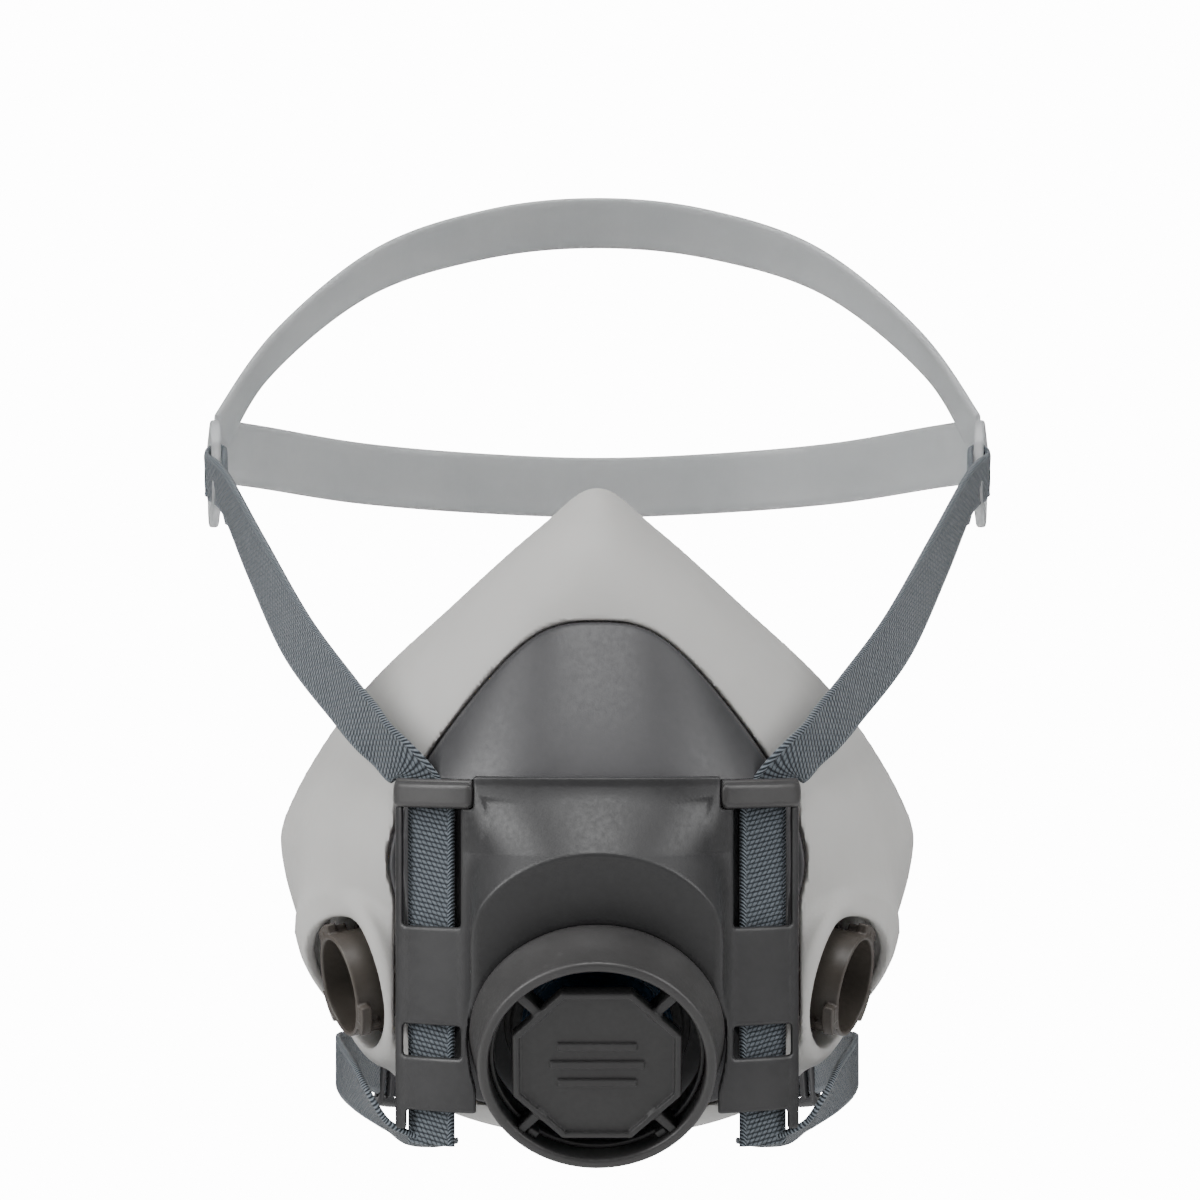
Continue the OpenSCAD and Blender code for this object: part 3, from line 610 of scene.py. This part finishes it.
def build_gasket(side):
    def shape(x, y, z):
        f = ring_part(x, y, z, TUBE_R + 0.06, CUP_R - 1.06, -2.95, -1.75, 0.45)
        return smooth_min(f, np.hypot(np.hypot(x, y) - 11.8, z + 1.8) - 0.35, 0.3)
    return carve_in(shape, (-14, -14, -4.2), (14, 14, -0.8), 0.2, PORT, PORT_AXES, side)


def build_inhale_flap(side):
    def shape(x, y, z):
        rho = np.hypot(x, y)
        sheet = disc(x, y, z, TUBE_R, PORT_DEEP - 0.72, PORT_DEEP - 0.02, 0.25)
        stem = disc(x, y, z, STEM_R, PORT_DEEP - 0.5, PORT_DEEP + 4.3, 0.2)
        knob = np.sqrt(rho ** 2 + (z - PORT_DEEP - 3.8) ** 2 * 3) - 2.1
        return smooth_min(smooth_min(sheet, stem, 0.4), knob, 0.3)
    return carve_in(shape, (-12, -12, -11.8), (12, 12, -4.0), 0.25, PORT, PORT_AXES, side)


# ------------------------------------------------------------------ webbing
ROW_PITCH, ROW_SLANT, STITCH, WEAVE_HIGH = 0.98, 0.16, 1.3, 0.05
# Mesh step, rounding of the edges, and the run over which webbing leaves its slot level
WEB_STEP, WEB_ROUND, SLOT_RUN = 0.3, 0.5, 7.0


def weave_height(across, along):
    """Height of the weave in millimetres: slanted rows between two flat edges."""
    edge = np.abs(across) > STRAP_W / 2 - 1.1
    rib = np.sin(2 * np.pi * (along + ROW_SLANT * across) / ROW_PITCH)
    return WEAVE_HIGH * np.where(edge, 1, rib)


def webbing(route, side, width=STRAP_W, sheared=0.0):
    """A strap with a woven surface along a route of (point, width direction)."""
    line = open_curve([r[0] for r in route], 40)
    wide = open_curve([r[1] for r in route], 40)
    length = np.r_[0, np.cumsum(np.linalg.norm(np.diff(line, axis=0), axis=1))]
    n = int(length[-1] / WEB_STEP)
    at = np.linspace(0, length[-1], n)
    line = np.stack([np.interp(at, length, line[:, k]) for k in range(3)], 1)
    wide = np.stack([np.interp(at, length, wide[:, k]) for k in range(3)], 1)
    d, w = width_across(line, wide)
    if sheared:
        # Where the webbing leaves its slot askew its rows stay level with the slot
        keep = np.clip(1 - (at - sheared) / sheared, 0, 1)[:, None]
        keep = keep * keep * (3 - 2 * keep)
        w = keep * unit(wide) + (1 - keep) * w
    t = unit(np.cross(d, w))
    across = np.linspace(-width / 2, width / 2, int(width / WEB_STEP))
    past = (np.abs(across) - (width / 2 - WEB_ROUND)) / WEB_ROUND
    crown = STRAP_T / 2 * np.minimum(1, np.sqrt(np.maximum(1 - past.clip(0) ** 2, 0.04)))
    lift = weave_height(across[None, :] * STRAP_W / width, at[:, None])
    lift = lift * np.minimum(crown / crown.max(), 1)[None, :]
    middle = line[:, None] + across[None, :, None] * w[:, None]
    rise = (crown[None, :] + lift)[..., None] * t[:, None]
    rows = np.concatenate([middle + rise, (middle - rise)[:, ::-1]], 1)
    k = rows.shape[1]
    verts = rows.reshape(-1, 3).copy()
    verts[:, 0] *= side
    quads = capped_quads(n, k)
    if side > 0:
        quads = quads[:, ::-1]
    obj = new_object(verts * MM, quads)
    layer = obj.data.uv_layers.new(name="weave")
    loops = np.empty(len(obj.data.loops), np.int32)
    obj.data.loops.foreach_get("vertex_index", loops)
    uv = np.stack([np.tile(np.r_[across, across[::-1]], n), np.repeat(at, k)], 1)[loops] * MM
    layer.data.foreach_set("uv", uv.astype(np.float32).ravel())
    return obj


# ------------------------------------------------------------------ harness routes, on the right side
UPPER = [((33.5, -49.6, 3.2), (0.82, 0.6, 0)), ((34.3, -49.1, 6.0), (0.82, 0.6, 0)),
         ((36.8, -47.8, 9.0), (0.8, 0.6, -0.05)), ((41.0, -45.2, 12.2), (0.52, 0.62, -0.5)),
         ((44.2, -42, 15.3), (0.3, 0.55, -0.75)), ((47.6, -38, 18.8), (0.36, 0.36, -0.85)),
         ((52.6, -30, 24.2), (0.36, 0.3, -0.88)), ((63.9, -5, 37.1), (0.42, 0.26, -0.87)),
         ((75.4, 35, 54.5), (0.25, 0.41, -0.87)), ((84.4, 64.5, 69.2), (0.05, 0.47, -0.88)),
         ((89.2, 76.5, 73.2), (0.03, 0.47, -0.88))]
NECK = [((30.5, -44.6, -65.8), (-0.5, 0.86, -0.1)), ((36.0, -42.6, -65.9), (-0.45, 0.84, -0.3)),
        ((41.4, -40.4, -64.4), (-0.4, 0.75, -0.52)), ((45.8, -36.0, -60.2), (-0.28, 0.6, -0.74)),
        ((50.6, -25.0, -56.4), (-0.05, 0.25, -0.96)), ((54.0, -8, -55.0), (0, 0, -1)),
        ((56.3, 20, -55), (0, 0, -1)), ((54.8, 52, -58), (0, 0.05, -1)),
        ((49, 88, -64), (-0.05, 0.1, -1)), ((31, 112, -69), (0, 0.1, -1)),
        ((22, 118.4, -71), (0, 0.1, -1))]
UPPER_BEND = (34.5, -49, 6), (47.6, -38, 18.8)
NECK_BEND = (30.5, -44.6, -65.8), (43.5, -38.5, -62.5)
LOW_BAND = [((88, 87, 79.5), (0, -0.3, 1)), ((80, 122, 79), (0, -0.2, 1)), ((58, 154, 76), (0, -0.1, 1)),
            ((30, 171, 74), (0, 0, 1)), ((0, 176, 73), (0, 0, 1))]
HIGH_BAND = [((88, 87, 82), (0, -0.7, 0.7)), ((77, 112, 103), (-0.2, -0.6, 0.7)),
             ((54, 134, 124), (-0.2, -0.6, 0.7)), ((27, 147, 134), (-0.1, -0.6, 0.7)),
             ((0, 151, 137), (0, -0.6, 0.7))]
BAND_W, BAND_T = 15.0, 1.8
TEMPLE = np.array([88, 80.5, 75.5])
ADJUSTER = np.array([49, 88, -64])
CLIP_Y, CLIP_Z, CLIP_GAP, PEG_R = 121.0, -72.0, 2.3, 2.6


def guide_route():
    """Down behind the yoke plate, following its curve."""
    r = BARREL_R - PLATE_T - 0.4 - STRAP_T / 2
    x = (WINDOW_IN + WINDOW_OUT) / 2 + 0.2
    y = BARREL_Y - math.sqrt(r * r - x * x)
    across = unit((-(y - BARREL_Y), x, 0))
    return [((x, y, z), across) for z in (2.6, -20.0, -42.0, -66.2)]


def band_path(half):
    """Both sides of a cradle band in one run, from left to right."""
    left = [((-p[0], p[1], p[2]), (-w[0], w[1], w[2])) for p, w in half]
    return left[:-1] + half[::-1]


def build_band(half):
    """Smooth moulded band with rounded edges and a raised bead along each edge."""
    route = band_path(half)
    line = open_curve([r[0] for r in route], 24)
    wide = open_curve([r[1] for r in route], 24)
    d, w = width_across(line, wide)
    t = np.cross(d, w)
    profile = []
    half_w, half_t = BAND_W / 2, BAND_T / 2
    for k in range(28):
        a = 2 * math.pi * k / 28
        cx, cy = math.cos(a), math.sin(a)
        px = half_w * math.copysign(abs(cx) ** 0.35, cx)
        bead = 1.0 if abs(px) > half_w - 2.4 else 0.72
        profile.append((px, half_t * bead * math.copysign(abs(cy) ** 0.6, cy)))
    profile = np.array(profile)
    rows = line[:, None] + profile[None, :, :1] * w[:, None] + profile[None, :, 1:] * t[:, None]
    obj = new_object(rows.reshape(-1, 3) * MM, capped_quads(*rows.shape[:2]))
    smooth = obj.modifiers.new("Smooth", "SUBSURF")
    smooth.levels = smooth.render_levels = 1
    return obj


def build_temple_plate(side):
    """Flat end of the cradle: a rounded plate with a raised border and the strap's slot."""
    axes = turned(0, math.radians(-8)) @ leaned(math.radians(-28))

    def shape(x, y, z):
        plate = smooth_max(slab(y, -6.5, 12.5), slab(z, -10.5, 10.5), 5.0)
        f = smooth_max(slab(x, -0.75, 0.75), plate, 0.6)
        border = smooth_max(slab(x, -1.15, 1.15), smooth_max(plate, -(plate + 1.6), 0.4), 0.6)
        f = smooth_min(f, border, 0.5)
        slot = smooth_max(slab(y, -3.5, -0.5), slab(z, -7.0, 7.0), 1.5)
        f = smooth_min(f, np.hypot(x, smooth_max(slot, -slot, 0.01) - 0.9) - 0.75, 0.4)
        f = cut(f, slot, 0.5)
        for k in range(4):
            grip = np.hypot(y - 4.0 - 1.9 * k, (np.abs(x) - 0.75)) - 0.42
            f = smooth_min(f, np.maximum(grip, slab(z, -5.5, 5.5)), 0.3)
        return f
    return carve_in(shape, (-2.6, -8.5, -12.5), (2.6, 14.5, 12.5), 0.3, TEMPLE, axes, side)


def build_fold(side):
    """The webbing's end, doubled round the bar and stitched down."""
    route = [((89.6, 77.4, 73.6), (0.02, 0.47, -0.88)), ((89.3, 79.9, 75.0), (0.02, 0.47, -0.88)),
             ((87.6, 81.4, 75.9), (0.02, 0.47, -0.88)), ((85.9, 80.0, 75.2), (0.02, 0.47, -0.88)),
             ((85.4, 77.0, 73.6), (0.02, 0.47, -0.88)), ((85.2, 71.5, 70.4), (0.02, 0.47, -0.88)),
             ((84.0, 65.5, 67.0), (0.03, 0.46, -0.88))]
    return webbing(route, side)


def build_adjuster(side):
    def shape(x, y, z):
        f = block(x, y, z, (-2.2, -5.2, -8.2), (2.2, 5.2, 8.2), 1.0)
        f = cut(f, block(x, y, z, (-1.1, -9, -6.3), (1.1, 9, 6.3), 0.3), 0.3)
        for lo, hi in ((-3.8, -1.2), (1.2, 3.8)):
            f = cut(f, block(x, y, z, (-4, lo, -6.3), (4, hi, 6.3), 0.5), 0.4)
        for k in range(5):
            f = smooth_min(f, np.maximum(np.hypot(y - 4.6, z - 3.2 * (k - 2)) - 0.5, np.abs(x) - 2.5), 0.3)
        return f
    axes = turned(0, math.radians(25)) @ leaned(math.radians(-9))
    return carve_in(shape, (-3.0, -6.5, -9.5), (3.0, 6.5, 9.5), 0.25, ADJUSTER, axes, side)


def build_hook():
    def shape(x, y, z):
        f = block(x, y, z, (-26, -1.2, -7), (2, 1.2, 7), 0.7)
        f = cut(f, block(x, y, z, (-23.5, -4, -5.7), (-21, 4, 5.7), 0.4), 0.4)
        f = smooth_min(f, np.maximum(np.hypot(x + 2, z) - PEG_R, slab(y, 0, 2 * CLIP_GAP + 3.4)), 0.8)
        head = disc(x + 2, z, y, PEG_R + 2, 1.2 + 2 * CLIP_GAP + 2, 2 * CLIP_GAP + 4.8, 0.5)
        f = smooth_min(f, head, 0.3)
        for k in range(4):
            f = smooth_min(f, np.maximum(np.hypot(x + 17 - 2.2 * k, y + 1.1) - 0.45, np.abs(z) - 5), 0.3)
        return f
    return carve_in(shape, (-27.5, -2.6, -8.5), (4, 10.5, 8.5), 0.3, (0, CLIP_Y, CLIP_Z), np.eye(3))


def build_loop():
    y0 = 1.2 + CLIP_GAP

    def shape(x, y, z):
        f = block(x, y, z, (-8, y0, -7), (26, y0 + 2, 7), 0.6)
        slot = np.minimum(np.maximum(np.abs(z) - PEG_R - 0.4, x - 0.5), np.hypot(x + 1.6, z) - PEG_R - 0.4)
        f = cut(f, slot, 0.5)
        f = cut(f, block(x, y, z, (21, 0, -5.7), (23.5, 12, 5.7), 0.4), 0.4)
        for k in range(4):
            f = smooth_min(f, np.maximum(np.hypot(x - 10.5 - 2.2 * k, y - y0 - 1.9) - 0.45, np.abs(z) - 5), 0.3)
        return f
    return carve_in(shape, (-9.5, 1.5, -8.5), (27.5, 7.5, 8.5), 0.3, (0, CLIP_Y, CLIP_Z), np.eye(3))


# ------------------------------------------------------------------ materials
class Nodes:
    """Short names for building a node material."""

    def __init__(self, name, color, roughness, specular=0.5, **sockets):
        self.mat = bpy.data.materials.new(name)
        self.mat.use_nodes = True
        self.tree = self.mat.node_tree
        self.shader = self.tree.nodes["Principled BSDF"]
        self.shader.inputs["Base Color"].default_value = (*color, 1)
        self.shader.inputs["Roughness"].default_value = roughness
        self.shader.inputs["Specular IOR Level"].default_value = specular
        for key, value in sockets.items():
            self.shader.inputs[key.replace("_", " ")].default_value = value

    def add(self, kind, **inputs):
        node = self.tree.nodes.new(kind)
        for key, value in inputs.items():
            node.inputs[key].default_value = value
        return node

    def link(self, a, b):
        self.tree.links.new(a, b)

    def noise(self, scale, detail=3.0, roughness=0.55):
        node = self.add("ShaderNodeTexNoise", Scale=scale, Detail=detail, Roughness=roughness)
        self.link(self.coords(), node.inputs["Vector"])
        return node.outputs["Fac"]

    def coords(self):
        if not hasattr(self, "_coords"):
            self._coords = self.add("ShaderNodeTexCoord").outputs["Object"]
        return self._coords

    def math(self, op, a, b=None):
        node = self.add("ShaderNodeMath")
        node.operation = op
        for socket, value in zip(node.inputs, (a, b)):
            if value is None:
                continue
            if isinstance(value, (int, float)):
                socket.default_value = value
            else:
                self.link(value, socket)
        return node.outputs[0]

    def ramp(self, fac, low, high, a, b):
        """Value that runs from a to b as fac runs from low to high."""
        node = self.add("ShaderNodeMapRange")
        self.link(fac, node.inputs["Value"])
        for key, value in (("From Min", low), ("From Max", high), ("To Min", a), ("To Max", b)):
            node.inputs[key].default_value = value
        return node.outputs["Result"]

    def spread(self, noise, a=0, b=1):
        """Value that runs from a to b over the middle of a noise's range."""
        return self.ramp(noise, 0.35, 0.65, a, b)

    def mix(self, fac, a, b):
        node = self.add("ShaderNodeMix")
        node.data_type = "RGBA"
        self.link(fac, node.inputs["Factor"])
        for socket, value in ((node.inputs[6], a), (node.inputs[7], b)):
            if isinstance(value, tuple):
                socket.default_value = (*value, 1)
            else:
                self.link(value, socket)
        return node.outputs[2]

    def bump(self, height, distance, strength):
        node = self.add("ShaderNodeBump", Distance=distance, Strength=strength)
        self.link(height, node.inputs["Height"])
        self.link(node.outputs["Normal"], self.shader.inputs["Normal"])

    def color(self, socket):
        self.link(socket, self.shader.inputs["Base Color"])

    def rough(self, socket):
        self.link(socket, self.shader.inputs["Roughness"])

    def edge_wear(self):
        """Brighter along convex edges, from the surface's curvature."""
        point = self.add("ShaderNodeNewGeometry").outputs["Pointiness"]
        return self.ramp(point, 0.515, 0.56, 0.0, 1.0)


def moulded(name, color, roughness, grain=0.00002, wear=0.2, mottle=0.1):
    """Moulded plastic: fine spark-eroded grain, faint flow mottling, paler rubbed edges."""
    m = Nodes(name, color, roughness, 0.45)
    cloud = m.noise(55, 4)
    fine = m.noise(5200, 2, 0.6)
    dark = tuple(c * (1 - mottle) for c in color)
    pale = tuple(min(1, c * (1 + mottle) + 0.002) for c in color)
    base = m.mix(m.spread(cloud), dark, pale)
    rubbed = tuple(min(1, c * 1.5 + 0.015) for c in color)
    scuff = m.math("MULTIPLY", m.edge_wear(), m.ramp(m.noise(240, 3), 0.4, 0.62, 0.25, wear))
    m.color(m.mix(scuff, base, rubbed))
    m.rough(m.ramp(m.math("ADD", cloud, m.noise(900, 2)), 0.8, 1.2, roughness - 0.05, roughness + 0.06))
    m.bump(m.math("ADD", fine, m.math("MULTIPLY", m.noise(1500, 2), 0.6)), grain, 0.55)
    return m.mat


def elastomer():
    """Soft grey elastomer: matte, slightly waxy, with a powdery grain and faint cloudiness."""
    m = Nodes("facepiece_elastomer", (0.445, 0.44, 0.425), 0.62, 0.32,
              Subsurface_Weight=0.12, Subsurface_Radius=(0.004, 0.0036, 0.003), Subsurface_Scale=0.6,
              Sheen_Weight=0.12, Sheen_Roughness=0.5)
    cloud = m.noise(30, 5)
    m.color(m.mix(m.spread(cloud), (0.46, 0.455, 0.44), (0.5, 0.495, 0.48)))
    m.rough(m.spread(m.noise(300, 4), 0.55, 0.68))
    m.bump(m.math("ADD", m.noise(3800, 2), m.math("MULTIPLY", m.noise(700, 3), 0.8)), 0.000035, 0.5)
    return m.mat


def rubber(name, color, roughness):
    m = Nodes(name, color, roughness, 0.4)
    dark, pale = (tuple(c * k for c in color) for k in (0.85, 1.15))
    m.color(m.mix(m.spread(m.noise(80, 3)), dark, pale))
    m.rough(m.spread(m.noise(600, 3), roughness - 0.05, roughness + 0.08))
    m.bump(m.noise(2500, 2), 0.00002, 0.5)
    return m.mat


def translucent():
    """Clear-white polypropylene of the head cradle."""
    m = Nodes("cradle_polypropylene", (0.86, 0.885, 0.9), 0.24, 0.5, Transmission_Weight=0.72, IOR=1.42)
    m.color(m.mix(m.spread(m.noise(60, 4)), (0.87, 0.89, 0.9), (0.91, 0.925, 0.93)))
    m.rough(m.spread(m.noise(40, 2), 0.3, 0.36))
    m.bump(m.noise(1800, 3), 0.000012, 0.3)
    return m.mat


def fabric():
    """Blue-grey elastic webbing: slanted rows of yarn beads, with painted shade darkening the hollows between
    them, and corded edges.
    """
    m = Nodes("webbing_twill", (0.12, 0.15, 0.185), 0.78, 0.25, Sheen_Weight=0.35, Sheen_Roughness=0.4)
    plus, minus, times, over = (partial(m.math, op) for op in ("ADD", "SUBTRACT", "MULTIPLY", "DIVIDE"))
    uv = m.add("ShaderNodeTexCoord").outputs["UV"]
    parts = m.add("ShaderNodeSeparateXYZ")
    m.link(uv, parts.inputs[0])
    x, y = parts.outputs["X"], parts.outputs["Y"]
    across = m.math("ABSOLUTE", x)
    wobble = times(minus(m.noise(420, 2), 0.5), 0.35 * MM)
    row = over(plus(plus(y, times(x, ROW_SLANT)), wobble), ROW_PITCH * MM)
    in_row = minus(m.math("FRACT", row), 0.5)
    shift = times(m.math("FLOOR", row), 0.5)
    stitch = m.math("FRACT", plus(over(x, STITCH * MM), plus(shift, times(in_row, 0.45))))
    # Each bead of yarn is high in the middle of its row and of its stitch
    high = minus(1.0, m.math("POWER", m.math("ABSOLUTE", times(in_row, 2.0)), 2.2))
    long = minus(1.0, m.math("POWER", m.math("ABSOLUTE", minus(times(stitch, 2.0), 1.0)), 3.0))
    ply = m.math("SINE", times(plus(times(x, 0.6), y), 2 * math.pi / (0.19 * MM)))
    height = plus(times(times(high, long), 0.85), times(ply, 0.09))
    cord = m.math("SINE", times(plus(y, times(across, 0.8)), 2 * math.pi / (0.75 * MM)))
    at_edge = m.ramp(across, (STRAP_W / 2 - 1.0) * MM, (STRAP_W / 2 - 0.8) * MM, 0.0, 1.0)
    height = plus(times(height, minus(1.0, at_edge)), times(plus(times(cord, 0.5), 0.5), at_edge))
    fleck = m.noise(2600, 2, 0.6)
    # Colour follows the weave's relief: painted shade darkens the hollows between yarn beads and rows, the
    # crests stay pale, and random flecks vary the tone
    painted_shade_and_fleck = m.ramp(plus(height, times(minus(fleck, 0.5), 0.5)), 0.15, 0.95, 0.0, 1.0)
    m.color(m.mix(painted_shade_and_fleck, (0.016, 0.021, 0.027), (0.19, 0.22, 0.25)))
    m.rough(m.ramp(painted_shade_and_fleck, 0.0, 1.0, 0.9, 0.68))
    m.bump(plus(height, times(fleck, 0.2)), 0.00022, 0.9)
    return m.mat


MATERIALS = {
    "elastomer": elastomer(),
    "shell": moulded("shell_plastic", (0.048, 0.048, 0.051), 0.42),
    "yoke": moulded("yoke_plastic", (0.027, 0.027, 0.028), 0.42),
    "keeper": moulded("keeper_plastic", (0.05, 0.049, 0.049), 0.4),
    "shroud": moulded("shroud_plastic", (0.046, 0.045, 0.045), 0.42),
    "grille": moulded("grille_plastic", (0.03, 0.03, 0.03), 0.5),
    "seat": moulded("seat_plastic", (0.025, 0.025, 0.026), 0.5),
    "port": moulded("port_plastic", (0.062, 0.053, 0.045), 0.42),
    "clip": moulded("clip_plastic", (0.035, 0.035, 0.037), 0.45),
    "flap": rubber("valve_rubber", (0.018, 0.05, 0.095), 0.32),
    "inhale": rubber("inhale_rubber", (0.55, 0.55, 0.53), 0.45),
    "gasket": rubber("gasket_rubber", (0.02, 0.02, 0.02), 0.6),
    "cradle": translucent(),
    "webbing": fabric(),
}


def place(obj, name, body, material, slot, *nodes):
    """Name a piece, give it its material, and hang it on its body in place of its CAD nodes.
    A body of (a, b, start, end) hangs the piece on no body: its transform is only baked into its mesh."""
    obj.name = obj.data.name = name
    obj.data.materials.clear()
    obj.data.materials.append(MATERIALS[material])
    if isinstance(body, str):
        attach(obj, body)
    else:
        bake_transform(obj)
    if nodes:
        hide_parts(*nodes)


def bend(a, b, ends, side):
    """Bodies a and b with two points of the right side, mirrored to the side and in metres."""
    return a, b, *((side * x * MM, y * MM, z * MM) for x, y, z in ends)


place(build_facepiece(), "facepiece_skin", "mask", "elastomer", "elastomer", "facepiece")
place(build_inner_shell(), "inner_shell_body", "mask", "shell", "shell_plastic", "inner_shell")
place(build_yoke(), "yoke_body", "mask", "yoke", "yoke_plastic", "yoke")
place(build_shroud(), "valve_shroud_cone", "mask", "shroud", "yoke_plastic", "valve_shroud")
place(build_grille(), "valve_grille_plate", "mask", "grille", "grille_plastic", "valve_grille")
place(build_seat(), "exhale_seat_ring", "mask", "seat", "valve_plastic", "exhale_seat")
place(build_exhale_flap(), "exhale_flap_disc", "exhale_flap_body", "flap", "valve_rubber", "exhale_flap")

for side, word in ((-1, "left"), (1, "right")):
    place(build_port(side), f"port_body_{word}", "mask", "port", "port_plastic", f"port_{word}")
    place(build_lock_ring(side), f"lock_ring_{word}", "mask", "port", "port_plastic", f"port_lock_ring_{word}")
    place(build_gasket(side), f"gasket_{word}", "mask", "gasket", "gasket_rubber", f"port_gasket_{word}")
    place(build_inhale_flap(side), f"inhale_disc_{word}", f"inhale_flap_{word}_body", "inhale", "flap_rubber",
          f"inhale_flap_{word}")
    place(build_keeper(side), f"keeper_block_{word}", "mask", "keeper", "keeper_plastic", f"strap_keeper_{word}")
    place(webbing(guide_route(), side, GUIDE_W), f"guide_webbing_{word}", "mask", "webbing", "webbing",
          f"guide_strap_{word}")
    place(webbing(UPPER, side, sheared=SLOT_RUN), f"upper_webbing_{word}",
          bend("mask", "harness", UPPER_BEND, side), "webbing", "webbing", f"upper_strap_{word}")
    place(build_fold(side), f"fold_webbing_{word}", "cradle", "webbing", "webbing", f"strap_fold_{word}")
    place(build_temple_plate(side), f"temple_plate_{word}", "cradle", "cradle", "cradle_plastic", "head_cradle")
    place(webbing(NECK, side), f"neck_webbing_{word}", bend("mask", f"neck_{word}", NECK_BEND, side),
          "webbing", "webbing", f"neck_strap_{word}")
    place(build_adjuster(side), f"adjuster_{word}", f"neck_{word}", "clip", "clip_plastic",
          f"neck_adjuster_{word}")

place(build_band(LOW_BAND), "cradle_low_band", "cradle", "cradle", "cradle_plastic")
place(build_band(HIGH_BAND), "cradle_high_band", "cradle", "cradle", "cradle_plastic")
place(build_hook(), "neck_hook_plate", "neck_left", "clip", "clip_plastic", "neck_hook")
place(build_loop(), "neck_loop_plate", "neck_right", "clip", "clip_plastic", "neck_loop")


# ------------------------------------------------------------------ stage, lights and camera
WHITE_GROUND = 14.0


def area_light(name, place_m, look, size, power):
    data = bpy.data.lights.new(name, "AREA")
    data.shape = "RECTANGLE"
    data.size, data.size_y = size
    data.energy = power
    obj = bpy.data.objects.new(name, data)
    obj.location = place_m
    obj.rotation_euler = (Vector(look) - Vector(place_m)).to_track_quat("-Z", "Y").to_euler()
    bpy.context.scene.collection.objects.link(obj)


def seen_white(tree, lit, output):
    """What the camera sees directly is a bright white ground, and what lights the object stays soft."""
    path = tree.nodes.new("ShaderNodeLightPath")
    white = tree.nodes.new("ShaderNodeEmission")
    white.inputs["Color"].default_value = (1, 1, 1, 1)
    white.inputs["Strength"].default_value = WHITE_GROUND
    mix = tree.nodes.new("ShaderNodeMixShader")
    tree.links.new(path.outputs["Is Camera Ray"], mix.inputs["Fac"])
    tree.links.new(lit.outputs[0], mix.inputs[1])
    tree.links.new(white.outputs[0], mix.inputs[2])
    tree.links.new(mix.outputs[0], output.inputs["Surface"])


def build_stage():
    bpy.ops.mesh.primitive_plane_add(size=14, location=(0, 2, -0.32))
    floor = bpy.context.object
    floor.name = "floor"
    pale = bpy.data.materials.new("pale_floor")
    pale.use_nodes = True
    nodes = pale.node_tree.nodes
    nodes["Principled BSDF"].inputs["Base Color"].default_value = (0.86, 0.86, 0.86, 1)
    nodes["Principled BSDF"].inputs["Roughness"].default_value = 0.8
    seen_white(pale.node_tree, nodes["Principled BSDF"], nodes["Material Output"])
    floor.data.materials.append(pale)
    world = bpy.data.worlds.new("studio")
    bpy.context.scene.world = world
    world.use_nodes = True
    nodes = world.node_tree.nodes
    nodes["Background"].inputs["Color"].default_value = (0.95, 0.96, 0.97, 1)
    nodes["Background"].inputs["Strength"].default_value = 0.12
    seen_white(world.node_tree, nodes["Background"], nodes["World Output"])
    area_light("side_left", (-1.0, -0.42, 0.55), (0, -0.03, 0), (0.5, 1.0), 16)
    area_light("side_right", (1.0, -0.42, 0.55), (0, -0.03, 0), (0.5, 1.0), 10)
    area_light("top", (0, -0.5, 1.25), (0, 0, 0), (0.8, 0.6), 12)


def build_camera():
    data = bpy.data.cameras.new("camera")
    data.sensor_width = 36
    data.lens = 150
    data.clip_start = 0.05
    camera = bpy.data.objects.new("camera", data)
    camera.location = (0.0006, -1.070, 0.045)
    camera.rotation_euler = (math.pi / 2, 0, 0)
    bpy.context.scene.collection.objects.link(camera)
    bpy.context.scene.camera = camera


build_stage()
build_camera()
